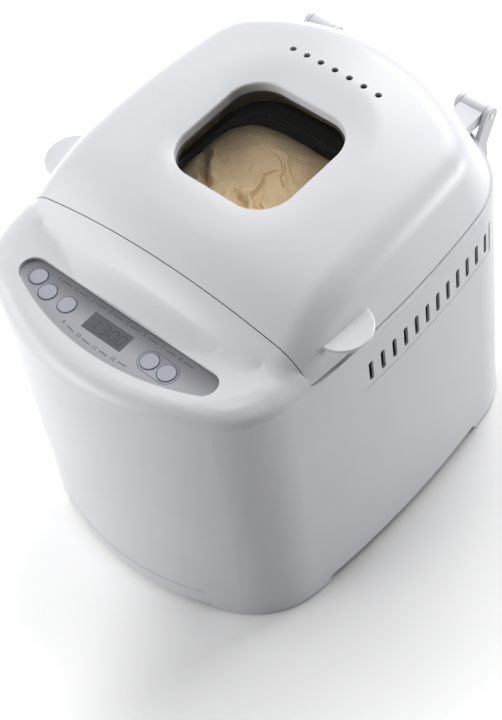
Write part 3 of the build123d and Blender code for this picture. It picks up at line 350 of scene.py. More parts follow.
def moulded_skin_group():
    """Height: fine noise plus a third of a coarse one. Tone: slow noise for a slight change of colour."""
    tree, start, end = group_of("moulded_skin", [("Fine", 900.0), ("Slow", 14.0)], ["Height", "Tone"])
    fine = noise(tree, start.outputs["Fine"], detail=2.0)
    slow = noise(tree, start.outputs["Slow"], detail=1.0)
    slow_share = 0.33
    height = maths(tree, "ADD", fine, maths(tree, "MULTIPLY", slow, slow_share))
    tree.links.new(height, end.inputs["Height"])
    tree.links.new(slow, end.inputs["Tone"])
    return tree


def handling_group():
    """Patch: broad noise pushed towards clean and used places. Scuff: thin stretched streaks."""
    tree, start, end = group_of("handling", [("Size", 9.0), ("Streaks", 60.0)], ["Patch", "Scuff"])
    broad = noise(tree, start.outputs["Size"], detail=5.0, roughness=0.6)
    streak = noise(tree, start.outputs["Streaks"], detail=3.0, roughness=0.7, stretch=(1.0, 6.0, 6.0))
    tree.links.new(sharpened(tree, broad, start=0.42, gain=3.2), end.inputs["Patch"])
    tree.links.new(sharpened(tree, streak, start=0.60, gain=5.0), end.inputs["Scuff"])
    return tree


def drawn_lines_group():
    """Lines: noise squeezed hard across one axis. Grain: a finer, rounder noise."""
    tree, start, end = group_of("drawn_lines", [("Density", 260.0), ("Grain", 1400.0)], ["Lines", "Grain"])
    lines = noise(tree, start.outputs["Density"], detail=4.0, roughness=0.65, stretch=(0.04, 1.0, 1.0))
    grain = noise(tree, start.outputs["Grain"], detail=2.0)
    tree.links.new(lines, end.inputs["Lines"])
    tree.links.new(grain, end.inputs["Grain"])
    return tree


moulded_skin = moulded_skin_group()
handling = handling_group()
drawn_lines = drawn_lines_group()
print("groups", len(bpy.data.node_groups))

# %% [markdown]
# Most plastics differ only in colour, gloss and how deep the skin is. One function makes them all, and a
# second one does the same for bare metals.

# %% Plastic and metal
def plastic(name, colour, gloss, skin, depth, wear):
    """Moulded plastic: skin as bump, slow tone in the colour, handling in the gloss."""
    material, tree, shader = new_finish(name, gloss)
    surface = place_group(tree, moulded_skin, Fine=skin)
    used = place_group(tree, handling)
    duller = tuple(0.94 * c for c in colour)
    tree.links.new(mix_colours(tree, surface.outputs["Tone"], colour, duller), shader.inputs["Base Color"])
    patchy = spread(tree, used.outputs["Patch"], gloss - wear / 2, gloss + wear / 2)
    rough = maths(tree, "ADD", patchy, maths(tree, "MULTIPLY", used.outputs["Scuff"], wear))
    tree.links.new(rough, shader.inputs["Roughness"])
    add_bump(tree, shader, surface.outputs["Height"], strength=depth, distance=0.00004)
    return material


def metal(name, colour, gloss, density, depth, wear=0.12):
    """Bare metal: drawn lines in colour, gloss and bump, with duller used places."""
    material, tree, shader = new_finish(name, gloss, metallic=1.0)
    lines = place_group(tree, drawn_lines, Density=density)
    used = place_group(tree, handling)
    darker = tuple(0.72 * c for c in colour)
    tree.links.new(mix_colours(tree, lines.outputs["Lines"], colour, darker), shader.inputs["Base Color"])
    grainy = spread(tree, lines.outputs["Grain"], gloss - wear / 2, gloss + wear / 2)
    rough = maths(tree, "ADD", grainy, maths(tree, "MULTIPLY", used.outputs["Patch"], wear))
    tree.links.new(rough, shader.inputs["Roughness"])
    add_bump(tree, shader, lines.outputs["Lines"], strength=depth, distance=0.00005)
    return material


print("plastic and metal ready")

# %% [markdown]
# The two lists give each slot its look. A row of plastics has slot, name, colour, gloss, scale of the skin,
# depth of the skin and wear of the gloss. A row of metals has slot, name, colour, gloss, density of the lines
# and depth of the lines.

# %% Looks of the plastics and metals
plastics = [
    ("white_plastic", "gloss_white_moulding", (0.695, 0.70, 0.735), 0.36, 700.0, 0.10, 0.06),
    ("base_plastic", "pale_matt_moulding", (0.62, 0.62, 0.63), 0.50, 1200.0, 0.5, 0.10),
    ("black_rubber", "black_foot_rubber", (0.025, 0.025, 0.026), 0.72, 1600.0, 0.7, 0.12),
    ("lens_plastic", "dark_display_lens", (0.085, 0.090, 0.108), 0.26, 500.0, 0.05, 0.04),
    ("board_green", "green_board", (0.03, 0.16, 0.06), 0.40, 500.0, 0.4, 0.10),
    ("black_plastic", "black_moulding", (0.03, 0.03, 0.033), 0.45, 1000.0, 0.5, 0.12),
    ("button_grey", "pale_button_cap", (0.40, 0.42, 0.475), 0.42, 2000.0, 0.35, 0.08),
    ("gasket_rubber", "dark_gasket", (0.02, 0.02, 0.02), 0.55, 1500.0, 0.4, 0.10),
    ("ceramic", "white_ceramic", (0.74, 0.71, 0.64), 0.38, 1800.0, 0.4, 0.10),
    ("pan_coating", "dark_pan_coating", (0.018, 0.014, 0.011), 0.46, 1500.0, 0.6, 0.14),
    ("belt_rubber", "belt_rubber", (0.03, 0.03, 0.03), 0.66, 1400.0, 0.7, 0.10),
]
metals = [
    ("screw_steel", "zinc_screw", (0.62, 0.62, 0.60), 0.34, 260.0, 0.3),
    ("sheet_aluminium", "plain_aluminium", (0.72, 0.72, 0.73), 0.36, 180.0, 0.3),
    ("sheet_steel", "plain_sheet_steel", (0.55, 0.55, 0.55), 0.36, 200.0, 0.3),
    ("element_steel", "dark_element_tube", (0.18, 0.16, 0.15), 0.48, 300.0, 0.3),
    ("spring_steel", "bright_spring", (0.66, 0.66, 0.67), 0.26, 320.0, 0.3),
    ("cast_aluminium", "cast_aluminium", (0.52, 0.52, 0.53), 0.52, 90.0, 0.7),
    ("bronze", "oiled_bronze", (0.50, 0.33, 0.15), 0.40, 240.0, 0.3),
    ("shaft_steel", "ground_shaft", (0.66, 0.66, 0.67), 0.22, 420.0, 0.3),
    ("lamination", "laminated_core", (0.20, 0.21, 0.23), 0.50, 500.0, 0.8),
    ("copper", "varnished_winding", (0.52, 0.22, 0.09), 0.34, 520.0, 0.9),
]
finishes = {slot: plastic(*look) for slot, *look in plastics}
finishes.update({slot: metal(*look) for slot, *look in metals})
print("finishes", len(finishes))

# %% [markdown]
# Some finishes change from place to place. Their masks start from Object coordinates, and a smooth step
# turns a distance into a share from 0 to 1.

# %% Masks from places
def ramp(tree, value, start, end):
    """Smooth step: 0 at the start value, 1 at the end value."""
    node = tree.nodes.new("ShaderNodeMapRange")
    node.interpolation_type = "SMOOTHSTEP"
    node.inputs["From Min"].default_value = start
    node.inputs["From Max"].default_value = end
    tree.links.new(value, node.inputs["Value"])
    return node.outputs["Result"]


def object_axes(tree):
    """Sockets of the three Object coordinates."""
    split = tree.nodes.new("ShaderNodeSeparateXYZ")
    tree.links.new(tree.nodes.new("ShaderNodeTexCoord").outputs["Object"], split.inputs["Vector"])
    return split.outputs


print("masks ready")

# %% [markdown]
# The control insert is a silver foil. Its colour runs from dark at its back edge to light at the front. The
# dark back part is painted shade from the wall of its recess and a painted reflection of the dark
# surroundings. The blend follows Object Y between two places on the deck, and a fine metallic grain lies over
# it.

# %% Silver insert
# The dark colour is painted shade and painted reflection at the back edge of the insert. Between the two
# insets from that edge it fades to the foil's own pale colour.
insert_painted_shade = (0.138, 0.138, 0.160)
insert_light = (0.40, 0.405, 0.435)
shade_start_inset = 0.001
shade_end_inset = 0.026


def insert_finish(back_y, front_y):
    """Silver print with painted shade and painted reflection: dark at the back edge to light at the front,
    with fine grain in colour and gloss.
    """
    material, tree, shader = new_finish("silver_insert_painted_shade", 0.36)
    run = ramp(tree, object_axes(tree)["Y"], back_y, front_y)
    grain_share = 0.22
    grain = maths(tree, "MULTIPLY", maths(tree, "SUBTRACT", noise(tree, 5200.0), 0.5), grain_share)
    share = maths(tree, "ADD", run, grain, clamp=True)
    tree.links.new(mix_colours(tree, share, insert_painted_shade, insert_light), shader.inputs["Base Color"])
    surface = place_group(tree, moulded_skin, Fine=2600.0)
    tree.links.new(spread(tree, surface.outputs["Height"], low=0.30, high=0.42), shader.inputs["Roughness"])
    add_bump(tree, shader, surface.outputs["Height"], strength=0.2, distance=0.00003)
    return material


insert_low, insert_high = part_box("control_insert")
finishes["insert_silver"] = insert_finish(insert_high.y - shade_start_inset, insert_high.y - shade_end_inset)
print("insert from", round(insert_low.y, 4), "to", round(insert_high.y, 4))

# %% [markdown]
# The window is flat clear glass. It bends light little, so full transmission with a smooth face is enough.
# A faint haze in the roughness keeps it from looking like an empty hole.

# %% Window glass
def window_finish():
    """Clear glass with a slight uneven haze in its gloss."""
    material, tree, shader = new_finish("window_pane", 0.02)
    shader.inputs["Base Color"].default_value = (0.97, 0.955, 0.93, 1)
    shader.inputs["Transmission Weight"].default_value = 1.0
    shader.inputs["IOR"].default_value = 1.12
    used = place_group(tree, handling, Size=20.0)
    tree.links.new(spread(tree, used.outputs["Patch"], low=0.01, high=0.05), shader.inputs["Roughness"])
    return material


finishes["glass"] = window_finish()
print("window finish", finishes["glass"].name)

# %% [markdown]
# Dough is pale tan with darker, warmer patches and flecks, dull with faint moist places. Its skin is finely
# pitted, so the bump mixes a fine and a coarse noise.

# %% Dough finish
dough_pale = (0.83, 0.665, 0.435)
dough_dark = (0.58, 0.435, 0.255)


def dough_finish():
    """Tan dough: two noises in the colour, pits in the bump, soft gloss."""
    material, tree, shader = new_finish("dough_skin", 0.55)
    place = noise(tree, 38.0, detail=5.0, roughness=0.6)
    fleck = noise(tree, 420.0, detail=3.0, roughness=0.6)
    share = maths(tree, "ADD", maths(tree, "MULTIPLY", place, 0.7), maths(tree, "MULTIPLY", fleck, 0.3))
    tree.links.new(mix_colours(tree, share, dough_pale, dough_dark), shader.inputs["Base Color"])
    tree.links.new(spread(tree, fleck, low=0.42, high=0.66), shader.inputs["Roughness"])
    shader.inputs["Subsurface Weight"].default_value = 0.15
    shader.inputs["Subsurface Radius"].default_value = (0.006, 0.004, 0.002)
    shader.inputs["Subsurface Scale"].default_value = 0.6
    coarse = noise(tree, 160.0, detail=4.0, roughness=0.6)
    skin = maths(tree, "ADD", coarse, maths(tree, "MULTIPLY", fleck, 0.5))
    add_bump(tree, shader, skin, strength=0.8, distance=0.0020)
    return material


finishes["dough"] = dough_finish()
print("dough finish", finishes["dough"].name)

# %% [markdown]
# Every solid comes with the name of a slot, and each slot has one finish.

# %% Put a finish on every solid
def dress(thing, finish):
    """Gives an object one material and no other."""
    thing.data.materials.clear()
    thing.data.materials.append(finish)


for name, thing in nodes.items():
    dress(thing, finishes[slot_of[name]])
print("dressed", len(nodes))

# %% [markdown]
# The floor should look white, yet throw little light up at the body. So it is mid grey to the light that
# falls on it and pale where it is seen directly. Far off it also glows up to white. On the lit side to the
# left, painted light lifts it to white. Close to the right wall it doesn't, so the shadow there stays.

# %% Floor finish
floor_lift = 0.02
# The lift on the lit side is painted light: the floor glows white on the left, where light falls on it.
painted_light_lift = 0.3
painted_light_way = (-1.0, -0.5, 0.0)


def vector_value(tree, operation, place, other=(0.0, 0.0, 0.0)):
    """Value of a Vector Math node: the length of a place, or its dot product with another vector."""
    node = tree.nodes.new("ShaderNodeVectorMath")
    node.operation = operation
    node.inputs[1].default_value = other
    tree.links.new(place, node.inputs[0])
    return node.outputs["Value"]


def floor_finish():
    """Pale floor that is lifted to white where it is seen directly: far off, and with painted light on the
    lit side.
    """
    material, tree, shader = new_finish("pale_floor", 0.9)
    seen = seen_directly(tree)
    pale = mix_colours(tree, noise(tree, 1.5), (0.96, 0.96, 0.96), (0.94, 0.94, 0.94))
    tree.links.new(mix_colours(tree, seen, (0.55, 0.55, 0.55), pale), shader.inputs["Base Color"])
    shader.inputs["Emission Color"].default_value = (1, 1, 1, 1)
    place = tree.nodes.new("ShaderNodeTexCoord").outputs["Object"]
    far_off = ramp(tree, vector_value(tree, "LENGTH", place), 0.22, 0.70)
    # Painted light: the share of the floor to the left of the body that glows white.
    painted_light_share = ramp(tree, vector_value(tree, "DOT_PRODUCT", place, painted_light_way), 0.0, 0.12)
    rise = maths(tree, "ADD", far_off, maths(tree, "MULTIPLY", painted_light_share, painted_light_lift))
    rise = maths(tree, "ADD", rise, floor_lift)
    tree.links.new(maths(tree, "MULTIPLY", seen, rise), shader.inputs["Emission Strength"])
    return material


dress(floor, floor_finish())
print("floor finish", floor.data.materials[0].name)

# %% [markdown]
# A mesh is softened by relaxing: each point drifts towards its neighbours, and a mask from 0 to 1 says how
# freely. Long edges are halved first, so that the points lie close enough together to draw a soft curve.

# %% Relaxing a mesh
weld_gap = 1e-6
halvings = 6


def smooth_step(value, start, end):
    """0 up to the start value, 1 from the end value, and 3 s^2 - 2 s^3 between them."""
    share = np.clip((value - start) / (end - start), 0.0, 1.0)
    return share * share * (3.0 - 2.0 * share)


def merged_mesh(thing, longest, from_z):
    """Points and triangles of a merged copy, with edges above a level halved until they are short enough."""
    shape = bmesh.new()
    shape.from_mesh(thing.data)
    bmesh.ops.remove_doubles(shape, verts=shape.verts, dist=weld_gap)
    for _ in range(halvings):
        high_edges = [edge for edge in shape.edges if min(edge.verts[0].co.z, edge.verts[1].co.z) > from_z]
        long_edges = [edge for edge in high_edges if edge.calc_length() > longest]
        bmesh.ops.subdivide_edges(shape, edges=long_edges, cuts=1)
        bmesh.ops.triangulate(shape, faces=shape.faces)
    finer = bpy.data.meshes.new("finer")
    shape.to_mesh(finer)
    shape.free()
    points = np.empty(len(finer.vertices) * 3)
    finer.vertices.foreach_get("co", points)
    corners = np.empty(len(finer.polygons) * 3, dtype=int)
    finer.polygons.foreach_get("vertices", corners)
    bpy.data.meshes.remove(finer)
    return points.reshape(-1, 3), corners.reshape(-1, 3)


def point_normals(points, faces):
    """Unit normal of each point: the sum of the area vectors of its triangles, scaled to length 1."""
    corners = points[faces]
    area = np.cross(corners[:, 1] - corners[:, 0], corners[:, 2] - corners[:, 0])
    normals = np.zeros_like(points)
    np.add.at(normals, faces, np.repeat(area[:, None], 3, axis=1))
    never_zero = 1e-12
    return normals / np.maximum(np.linalg.norm(normals, axis=1), never_zero)[:, None]


def relaxed(points, faces, mask, passes):
    """Each pass moves a point half the way to its neighbours' mean, weighed by 1 / distance."""
    shortest = 0.0005
    sides = np.sort(np.vstack([faces[:, [0, 1]], faces[:, [1, 2]], faces[:, [2, 0]]]), axis=1)
    first, second = np.unique(sides, axis=0).T
    for _ in range(passes):
        span = points[second] - points[first]
        weight = 1.0 / np.maximum(np.linalg.norm(span, axis=1), shortest)
        pull = np.zeros_like(points)
        np.add.at(pull, first, span * weight[:, None])
        np.add.at(pull, second, -span * weight[:, None])
        total = np.bincount(first, weight, len(points)) + np.bincount(second, weight, len(points))
        points = points + 0.5 * mask[:, None] * pull / total[:, None]
    return points


print("relaxing ready")

# %% [markdown]
# The deck in front of the lid is one moulding. In its solid the hollow meets the two shoulders in a fold, but
# the real one runs over softly. Rounding that fold by hand would take many patches, so a copy of its mesh is
# relaxed. The seam, the lower edge and the recess for the insert stay crisp, because the mask holds the
# points near them.

# %% Softened deck
deck_edge = 0.003
deck_fine_z = 0.2475
brim_z = 0.2470
held_gap = 0.0025
end_run = (0.050, 0.085)
front_run = (-0.150, -0.125)
skin_run = (0.05, 0.30)
sharp_angle = math.radians(58)


def free_to_move(points, free_gap):
    """Mask at the ends of the deck: 0 up to held_gap from seam, brim and insert, and 1 from free_gap on."""
    seam_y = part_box("control_fascia")[1].y
    covered, _ = merged_mesh(nodes["control_insert"], deck_edge, 0.0)
    covered = np.unique(np.round(covered[:, :2], 3), axis=0)
    squares = (points[:, :2] ** 2).sum(axis=1)[:, None] + (covered ** 2).sum(axis=1)[None]
    nearest = (squares - 2.0 * points[:, :2] @ covered.T).min(axis=1)
    insert_gap = np.sqrt(np.maximum(nearest, 0.0))
    mask = smooth_step(np.abs(points[:, 0]), *end_run) * smooth_step(points[:, 1], *front_run)
    for near in (seam_y - points[:, 1], points[:, 2] - brim_z, insert_gap):
        mask = mask * smooth_step(near, held_gap, free_gap)
    return mask


deck_points, deck_faces = merged_mesh(nodes["control_fascia"], deck_edge, deck_fine_z)
outer_skin = smooth_step(point_normals(deck_points, deck_faces)[:, 2], *skin_run)
soft_points = deck_points
for free_gap, passes in ((0.012, 90), (0.007, 20)):
    mask = outer_skin * free_to_move(deck_points, free_gap)
    soft_points = relaxed(soft_points, deck_faces, mask, passes)
deck = mesh_object("control_deck", soft_points, deck_faces.tolist())
deck.data.set_sharp_from_angle(angle=sharp_angle)
dress(deck, finishes["white_plastic"])
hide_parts("control_fascia")
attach(deck, "housing")
print("deck points moved by up to", round(np.abs(soft_points - deck_points).max() * 1000, 2), "mm")

# %% [markdown]
# The dough fills the pan to its rim and swells above it in the middle. A plain dome would look like a
# cushion, so the top is worked as a height over the plan: a dome that falls off towards the back, a slow
# unevenness, and creases. A crease is a line in the plan; the height falls near it and swells a little to one
# side, as dough does when it folds.

# %% Sizes of the dough
dough_low, dough_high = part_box("dough")
dough_middle = (dough_low + dough_high) / 2
dough_half = (dough_high - dough_low) / 2
loaf_waist = dough_low.z + 0.6 * (dough_high.z - dough_low.z)
loaf_power = 7.0
plan_power = 3.4
foot_share = 0.86
fade_power = 1.5
back_drop = 0.012
back_way = (0.35, 0.94)
back_run = (0.022, 0.062)
uneven_height = 0.0024
uneven_top = 1.2
pit_depth = 0.0017
pit_width = 0.0015
paddle_gap = 0.0025
paddle_low, paddle_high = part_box("kneading_paddle")
hollow_radius = (paddle_high - paddle_low).xy.length / 2 + paddle_gap
hollow_top = paddle_high.z + paddle_gap

# Line in the plan, depth and width of each crease
creases = [
    ([(-0.075, 0.041), (-0.070, 0.035), (-0.061, 0.024), (-0.051, 0.016), (-0.043, 0.010)], 0.0075, 0.0032),
    ([(0.007, 0.012), (-0.001, 0.015), (-0.006, 0.020), (-0.010, 0.027), (-0.014, 0.044), (-0.006, 0.053)],
     0.0034, 0.0014),
    ([(-0.026, 0.064), (-0.015, 0.062), (-0.010, 0.055), (0.001, 0.046), (0.013, 0.039)], 0.0034, 0.0014),
    ([(-0.026, 0.021), (-0.015, 0.012), (-0.004, 0.011)], 0.0050, 0.0030),
    ([(-0.010, 0.033), (-0.003, 0.026), (0.002, 0.018), (0.008, 0.013)], 0.0022, 0.0012),
    ([(0.020, 0.070), (0.032, 0.056), (0.050, 0.050)], 0.0030, 0.0022),
    ([(0.028, 0.010), (0.040, -0.006), (0.052, -0.014)], 0.0030, 0.0020),
    ([(-0.020, -0.004), (-0.006, -0.014), (0.012, -0.016)], 0.0028, 0.0020),
]
pits = [(-0.049, 0.039), (-0.040, 0.041), (-0.029, 0.042), (-0.034, 0.060), (-0.052, 0.052), (0.016, 0.030)]
print("creases", len(creases), "pits", len(pits))

# %% [markdown]
# The relief of the top is worked out for any point of the plan: how far it is from each crease and pit, and
# what a few slow waves add.

# %% Relief of the dough
def rounded_line(line, rounds=3):
    """Broken line with its corners cut at a quarter of each run, several times over."""
    points = np.array(line)
    for _ in range(rounds):
        near = 0.75 * points[:-1] + 0.25 * points[1:]
        far = 0.25 * points[:-1] + 0.75 * points[1:]
        middle = np.stack([near, far], axis=1).reshape(-1, 2)
        points = np.concatenate([points[:1], middle, points[-1:]])
    return points


def crease_distance(x, y, line):
    """Distance from each plan point to a line, negative on its right, and the share of the line passed."""
    best = np.full(x.shape, np.inf)
    side = np.ones(x.shape)
    passed = np.zeros(x.shape)
    runs = np.linalg.norm(np.diff(line, axis=0), axis=1)
    before = np.concatenate([[0], np.cumsum(runs)])
    for (ax, ay), (bx, by), run, start in zip(line[:-1], line[1:], runs, before):
        ux = (bx - ax) / run
        uy = (by - ay) / run
        along = np.clip((x - ax) * ux + (y - ay) * uy, 0, run)
        gap = np.hypot(x - ax - along * ux, y - ay - along * uy)
        nearer = gap < best
        best = np.where(nearer, gap, best)
        side = np.where(nearer, np.where((x - ax) * -uy + (y - ay) * ux < 0, -1.0, 1.0), side)
        passed = np.where(nearer, (start + along) / before[-1], passed)
    return best * side, passed


def uneven(x, y):
    """Slow unevenness: a sum of sines of different length and direction, about 1 at most. Each wave has its
    radians per metre along x and y, its shift and its share."""
    waves = [(61, 23, 0.3, 0.34), (-37, 58, 1.9, 0.30), (95, -71, 0.7, 0.18), (43, 120, 2.6, 0.12),
             (-150, 64, 4.1, 0.07), (170, 151, 5.2, 0.05), (320, -210, 1.1, 0.05), (-270, 350, 3.3, 0.05),
             (510, 190, 0.2, 0.03), (-440, -380, 2.2, 0.03)]
    return sum(share * np.sin(a * x + b * y + shift) for a, b, shift, share in waves)


def folds(x, y):
    """Change of height by creases and pits, on a plan stirred by sines so that no line runs quite straight. A
    crease is a groove exp(-(gap / width)^2) with a swell of half its depth beside it."""
    stir_x = x + 0.0011 * np.sin(310 * y + 1.0) + 0.0006 * np.sin(720 * y + 230 * x)
    stir_y = y + 0.0011 * np.sin(270 * x + 2.0) + 0.0006 * np.sin(640 * x - 310 * y)
    change = np.zeros(x.shape)
    for line, depth, width in creases:
        gap, passed = crease_distance(stir_x, stir_y, rounded_line(line))
        groove = np.exp(-(gap / width) ** 2)
        swell = 0.5 * np.exp(-((gap - 2.4 * width) / (1.5 * width)) ** 2)
        fade = np.sin(np.pi * passed) ** 0.6
        change = change + depth * (swell - groove) * fade
    for pit_x, pit_y in pits:
        square = (stir_x - pit_x) ** 2 + (stir_y - pit_y) ** 2
        change = change - pit_depth * np.exp(-square / pit_width ** 2)
    return change


print("relief ready")

# %% [markdown]
# The loaf is a closed grid: rows run from the crown over the top, down the side and along the underside to
# its middle, and columns are spokes round it.

# %% Dough surface
def loaf_profile(count, samples=900, height_weight=0.6):
    """Reach and height of the loaf from its crown to its widest line, evenly spaced along the curve: a
    superellipse, flatter on top than a circle."""
    turn = np.linspace(0, np.pi / 2, samples)
    reach = np.sin(turn) ** (2 / loaf_power)
    rise = np.cos(turn) ** (2 / loaf_power)
    steps = np.hypot(np.diff(reach), height_weight * np.diff(rise))
    run = np.concatenate([[0], np.cumsum(steps)])
    even = np.linspace(0, run[-1], count)
    return np.interp(even, run, reach)[:, None], np.interp(even, run, rise)[:, None]


def dough_rows(x, y, z):
    """Rows of points whose x and y are counted from the middle of the dough."""
    return np.stack(np.broadcast_arrays(dough_middle.x + x, dough_middle.y + y, z), axis=-1)


def dough_top(wide_x, wide_y):
    """Rows from the crown to the widest line: the profile, with a fall towards the back, unevenness and folds
    that fade towards the side."""
    reach, rise = loaf_profile(170)
    x = reach * wide_x
    y = reach * wide_y
    soft = rise ** fade_power
    plan = (dough_middle.x + x, dough_middle.y + y)
    fall = back_drop * smooth_step(back_way[0] * x + back_way[1] * y, *back_run)
    relief = uneven_height * (uneven(*plan) - uneven_top) + folds(*plan) - fall
    z = loaf_waist + (dough_high.z - loaf_waist) * rise + relief * soft
    return dough_rows(x, y, np.minimum(z, dough_high.z))


def dough_side(wide_x, wide_y):
    """Rows from the widest line down to the floor of the pan, drawn in with the square of the way down."""
    down = np.linspace(0, 1, 22)[1:, None]
    draw_in = 1 - (1 - foot_share) * down ** 2
    return dough_rows(draw_in * wide_x, draw_in * wide_y, loaf_waist + (dough_low.z - loaf_waist) * down)


def dough_underside(wide_x, wide_y, hollow_x, hollow_y):
    """Rows from the foot to the middle: a flat ring, then the wall and the top of a hollow for the paddle."""
    rows = []
    for share, level in ((0.5, dough_low.z), (1.0, dough_low.z), (1.0, hollow_top)):
        x = (1 - share) * foot_share * wide_x + share * hollow_x
        y = (1 - share) * foot_share * wide_y + share * hollow_y
        rows.append(dough_rows(x, y, level))
    rows += [dough_rows(share * hollow_x, share * hollow_y, hollow_top) for share in (0.6, 0.2, 0.0)]
    return np.concatenate(rows)


def dough_points(spokes):
    """Closed loaf over a rounded rectangle |x|^p + |y|^p = 1, in rows from the crown to the underside."""
    angle = np.linspace(0, 2 * np.pi, spokes, endpoint=False)[None, :]
    outline = (np.abs(np.cos(angle)) ** plan_power + np.abs(np.sin(angle)) ** plan_power) ** (-1 / plan_power)
    wide_x = dough_half.x * outline * np.cos(angle)
    wide_y = dough_half.y * outline * np.sin(angle)
    hollow_x = hollow_radius * np.cos(angle)
    hollow_y = hollow_radius * np.sin(angle)
    underside = dough_underside(wide_x, wide_y, hollow_x, hollow_y)
    return np.concatenate([dough_top(wide_x, wide_y), dough_side(wide_x, wide_y), underside])


dough_skin = dough_points(spokes=420)
loaf = grid_object("dough_loaf", dough_skin, wrap_columns=True)
dress(loaf, finishes["dough"])
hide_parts("dough")
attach(loaf, "pan")
print("dough", len(loaf.data.polygons), "faces, top at", round(float(dough_skin[..., 2].max()), 4))

# %% [markdown]
# The control insert is a printed foil. Print has almost no thickness, so each piece of it stands a twentieth
# of a millimetre above the foil. It is part of the housing.

# %% Ink and print
print_level = insert_high.z
print_height = 0.00005


def ink(name, colour):
    """Printing ink: slightly uneven in tone and gloss."""
    material, tree, shader = new_finish(name, 0.45)
    grain = noise(tree, 3000.0)
    paler = tuple(1.5 * c for c in colour)
    tree.links.new(mix_colours(tree, grain, colour, paler), shader.inputs["Base Color"])
    tree.links.new(spread(tree, grain, low=0.38, high=0.56), shader.inputs["Roughness"])
    return material


blue_ink = ink("blue_ink", (0.055, 0.075, 0.135))
dark_ink = ink("dark_ink", (0.022, 0.023, 0.030))


def printed(piece, finish):
    """Gives a printed piece its ink and the body that it moves with."""
    dress(piece, finish)
    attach(piece, "housing")


print("inks", blue_ink.name, dark_ink.name)

# %% [markdown]
# Each button has a fine blue outline, and one long outline holds the last two together. An outline is a flat
# rectangle carried along its path.

# %% Outlines round the buttons
outline_width = 0.00048
button_outline_radius = 0.00715
pair_outline_radius = 0.00865


def circle_path(centre, radius, count=72):
    """Points of a circle: centre plus radius times cosine and sine."""
    angle = np.arange(count) * 2 * np.pi / count
    return np.stack([centre[0] + radius * np.cos(angle), centre[1] + radius * np.sin(angle)], axis=-1)


def stadium_path(first, second, radius, count=36):
    """Half circle round each of two centres; the straight sides join their ends."""
    lean = math.atan2(second[1] - first[1], second[0] - first[0])
    half = np.linspace(-np.pi / 2, np.pi / 2, count)
    ends = [np.stack([x + radius * np.cos(half + turn), y + radius * np.sin(half + turn)], axis=-1)
            for (x, y), turn in ((second, lean), (first, lean + np.pi))]
    return np.concatenate(ends)


def band_points(path, width, level, height):
    """Rectangle carried along a closed path: half the width to each side of it, from just under the level
    to the height above it."""
    ahead = np.roll(path, -1, axis=0) - np.roll(path, 1, axis=0)
    ahead = ahead / np.linalg.norm(ahead, axis=1, keepdims=True)
    side = np.stack([ahead[:, 1], -ahead[:, 0]], axis=-1) * width / 2
    corners = [(1, 1), (-1, 1), (-1, -1), (1, -1)]
    rows = [np.column_stack([path + s * side, np.full(len(path), level + h * height)]) for s, h in corners]
    return np.stack(rows)


def printed_outline(name, path):
    """Blue line along a closed path on the insert."""
    points = band_points(path, outline_width, print_level, print_height)
    printed(grid_object(name, points, wrap_rows=True, wrap_columns=True, smooth=False), blue_ink)


button_names = ["menu_button", "colour_button", "weight_button", "time_button", "start_button"]
button_places = {}
for name in button_names:
    low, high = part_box(name)
    button_places[name] = ((low.x + high.x) / 2, (low.y + high.y) / 2)
    printed_outline(name + "_outline", circle_path(button_places[name], button_outline_radius))
pair_path = stadium_path(button_places["time_button"], button_places["start_button"], pair_outline_radius)
printed_outline("pair_outline", pair_path)
print("outlines", len(button_names) + 1, "at level", round(print_level, 4))

# %% [markdown]
# The display shows plain digits of seven segments. A segment is a bar with pointed ends. All bars of the
# display are one thin piece on the lens.

# %% Digits of the display
def plates_object(name, outlines, level, height):
    """Thin upright prisms from closed outlines that run anticlockwise: a lid, a floor and side faces each."""
    points, faces = [], []
    for outline in outlines:
        count = len(outline)
        first = sum(len(p) for p in points)
        points.append(np.column_stack([outline, np.full(count, level - height)]))
        points.append(np.column_stack([outline, np.full(count, level + height)]))
        low = np.arange(count) + first
        high = low + count
        faces.append(low[::-1].tolist())
        faces.append(high.tolist())
        faces += np.stack([low, np.roll(low, -1), np.roll(high, -1), high], axis=-1).tolist()
    return mesh_object(name, np.concatenate(points), faces, smooth=False)


def bar(start, end, width):
    """Outline of a bar from start to end whose ends are pointed."""
    start, end = np.array(start), np.array(end)
    ahead = (end - start) / np.linalg.norm(end - start)
    side = np.array([-ahead[1], ahead[0]]) * width / 2
    tip = ahead * width / 2
    return np.array([start, start + tip - side, end - tip - side, end, end - tip + side, start + tip + side])


segment_ends = {
    "a": ((0, 1), (0.5, 1)),
    "b": ((0.5, 1), (0.5, 0.5)),
    "c": ((0.5, 0.5), (0.5, 0)),
    "d": ((0, 0), (0.5, 0)),
    "e": ((0, 0.5), (0, 0)),
    "f": ((0, 1), (0, 0.5)),
    "g": ((0, 0.5), (0.5, 0.5)),
}
lit_segments = {"0": "abcdef", "1": "bc", "3": "abcdg"}


def digit_bars(digit, x, y, height, width, lean=0.08, end_gap=0.06):
    """Outlines of the lit bars of a digit whose lower left corner is at x, y; the digit leans a little."""
    bars = []
    for segment in lit_segments[digit]:
        plan = np.array(segment_ends[segment])
        start, end = np.array([x, y]) + height * (plan + lean * plan[:, 1:] * [1, 0])
        gap = (end - start) * end_gap
        bars.append(bar(start + gap, end - gap, width))
    return bars


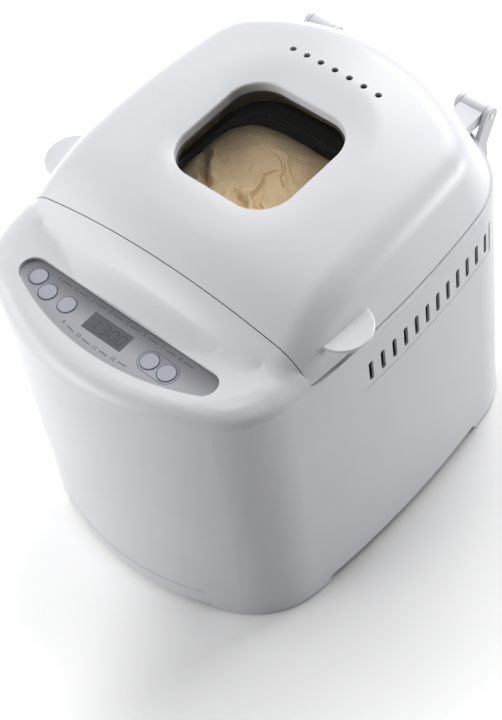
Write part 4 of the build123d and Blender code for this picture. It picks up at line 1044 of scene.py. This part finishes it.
lens_low, lens_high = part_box("display_lens")
lens_x = (lens_low.x + lens_high.x) / 2
lens_y = (lens_low.y + lens_high.y) / 2
digit_height = 0.0085
digit_foot = lens_y - digit_height / 2
segment_width = 0.00095
colon_shift = 0.0016
dot_radius = 0.00055
shown_bars = []
for digit, shift in (("1", -0.0150), ("3", -0.0050), ("0", 0.0034), ("0", 0.0104)):
    shown_bars += digit_bars(digit, lens_x + shift, digit_foot, digit_height, segment_width)
for share in (0.3, 0.7):
    dot_place = (lens_x + colon_shift, digit_foot + share * digit_height)
    shown_bars.append(circle_path(dot_place, dot_radius, count=20))
digits = plates_object("display_digits", shown_bars, lens_high.z, print_height)
printed(digits, ink("display_ink", (0.010, 0.011, 0.016)))
print("display bars", len(shown_bars))

# %% [markdown]
# Two rows of small numbers stand for the programs, each with a plain short dash. Numbers are text turned into
# meshes, put in place with one matrix each and joined into a single piece.

# %% Program numbers
def number_points(words, size, height):
    """Thin solid text as points and faces round its own middle."""
    curve = bpy.data.curves.new("number", "FONT")
    curve.body = words
    curve.size = size
    curve.extrude = height / 2
    curve.align_x, curve.align_y = "CENTER", "CENTER"
    curve.resolution_u = 3
    holder = bpy.data.objects.new("number", curve)
    mesh = bpy.data.meshes.new_from_object(holder)
    points = np.zeros(len(mesh.vertices) * 3)
    mesh.vertices.foreach_get("co", points)
    faces = [list(face.vertices) for face in mesh.polygons]
    bpy.data.objects.remove(holder)
    bpy.data.curves.remove(curve)
    bpy.data.meshes.remove(mesh)
    return points.reshape(-1, 3), faces


def number_row(name, places, size, level, height):
    """One mesh of several numbers, each moved to its place and turned with the row."""
    points, faces = [], []
    for words, x, y, turn in places:
        shape, loops = number_points(words, size, height)
        first = sum(len(p) for p in points)
        spin = np.array([[math.cos(turn), math.sin(turn)], [-math.sin(turn), math.cos(turn)]])
        plan = shape[:, :2] @ spin + [x, y]
        points.append(np.column_stack([plan, shape[:, 2] + level + height / 2]))
        faces += [[i + first for i in loop] for loop in loops]
    return mesh_object(name, np.concatenate(points), faces, smooth=False)


number_size = 0.0042
back_count = 8
back_start = -0.062
back_step = 0.0165
back_y = insert_high.y - 0.0044
bow_radius = 0.1985
bow_middle = insert_low.y + 0.205
bow_angles = np.linspace(-0.165, 0.085, 4)
dash_width = 0.0006
back_row = [(str(i + 1), back_start + back_step * i, back_y, 0.0) for i in range(back_count)]
front_row = []
for i, angle in enumerate(bow_angles):
    x = bow_radius * math.sin(angle)
    y = bow_middle - bow_radius * math.cos(angle)
    front_row.append((str(i + back_count + 1), x, y, angle))
numbers = number_row("program_numbers", back_row + front_row, number_size, print_level, print_height)
printed(numbers, dark_ink)

dashes = []
for row, dash_start, dash_end in ((back_row, 0.0032, 0.0125), (front_row, 0.0042, 0.0120)):
    for _, x, y, turn in row:
        place = np.array([x, y])
        ahead = np.array([math.cos(turn), math.sin(turn)])
        dashes.append(bar(place + dash_start * ahead, place + dash_end * ahead, dash_width))
printed(plates_object("program_dashes", dashes, print_level, print_height), dark_ink)
print("numbers", len(back_row + front_row), "dashes", len(dashes))
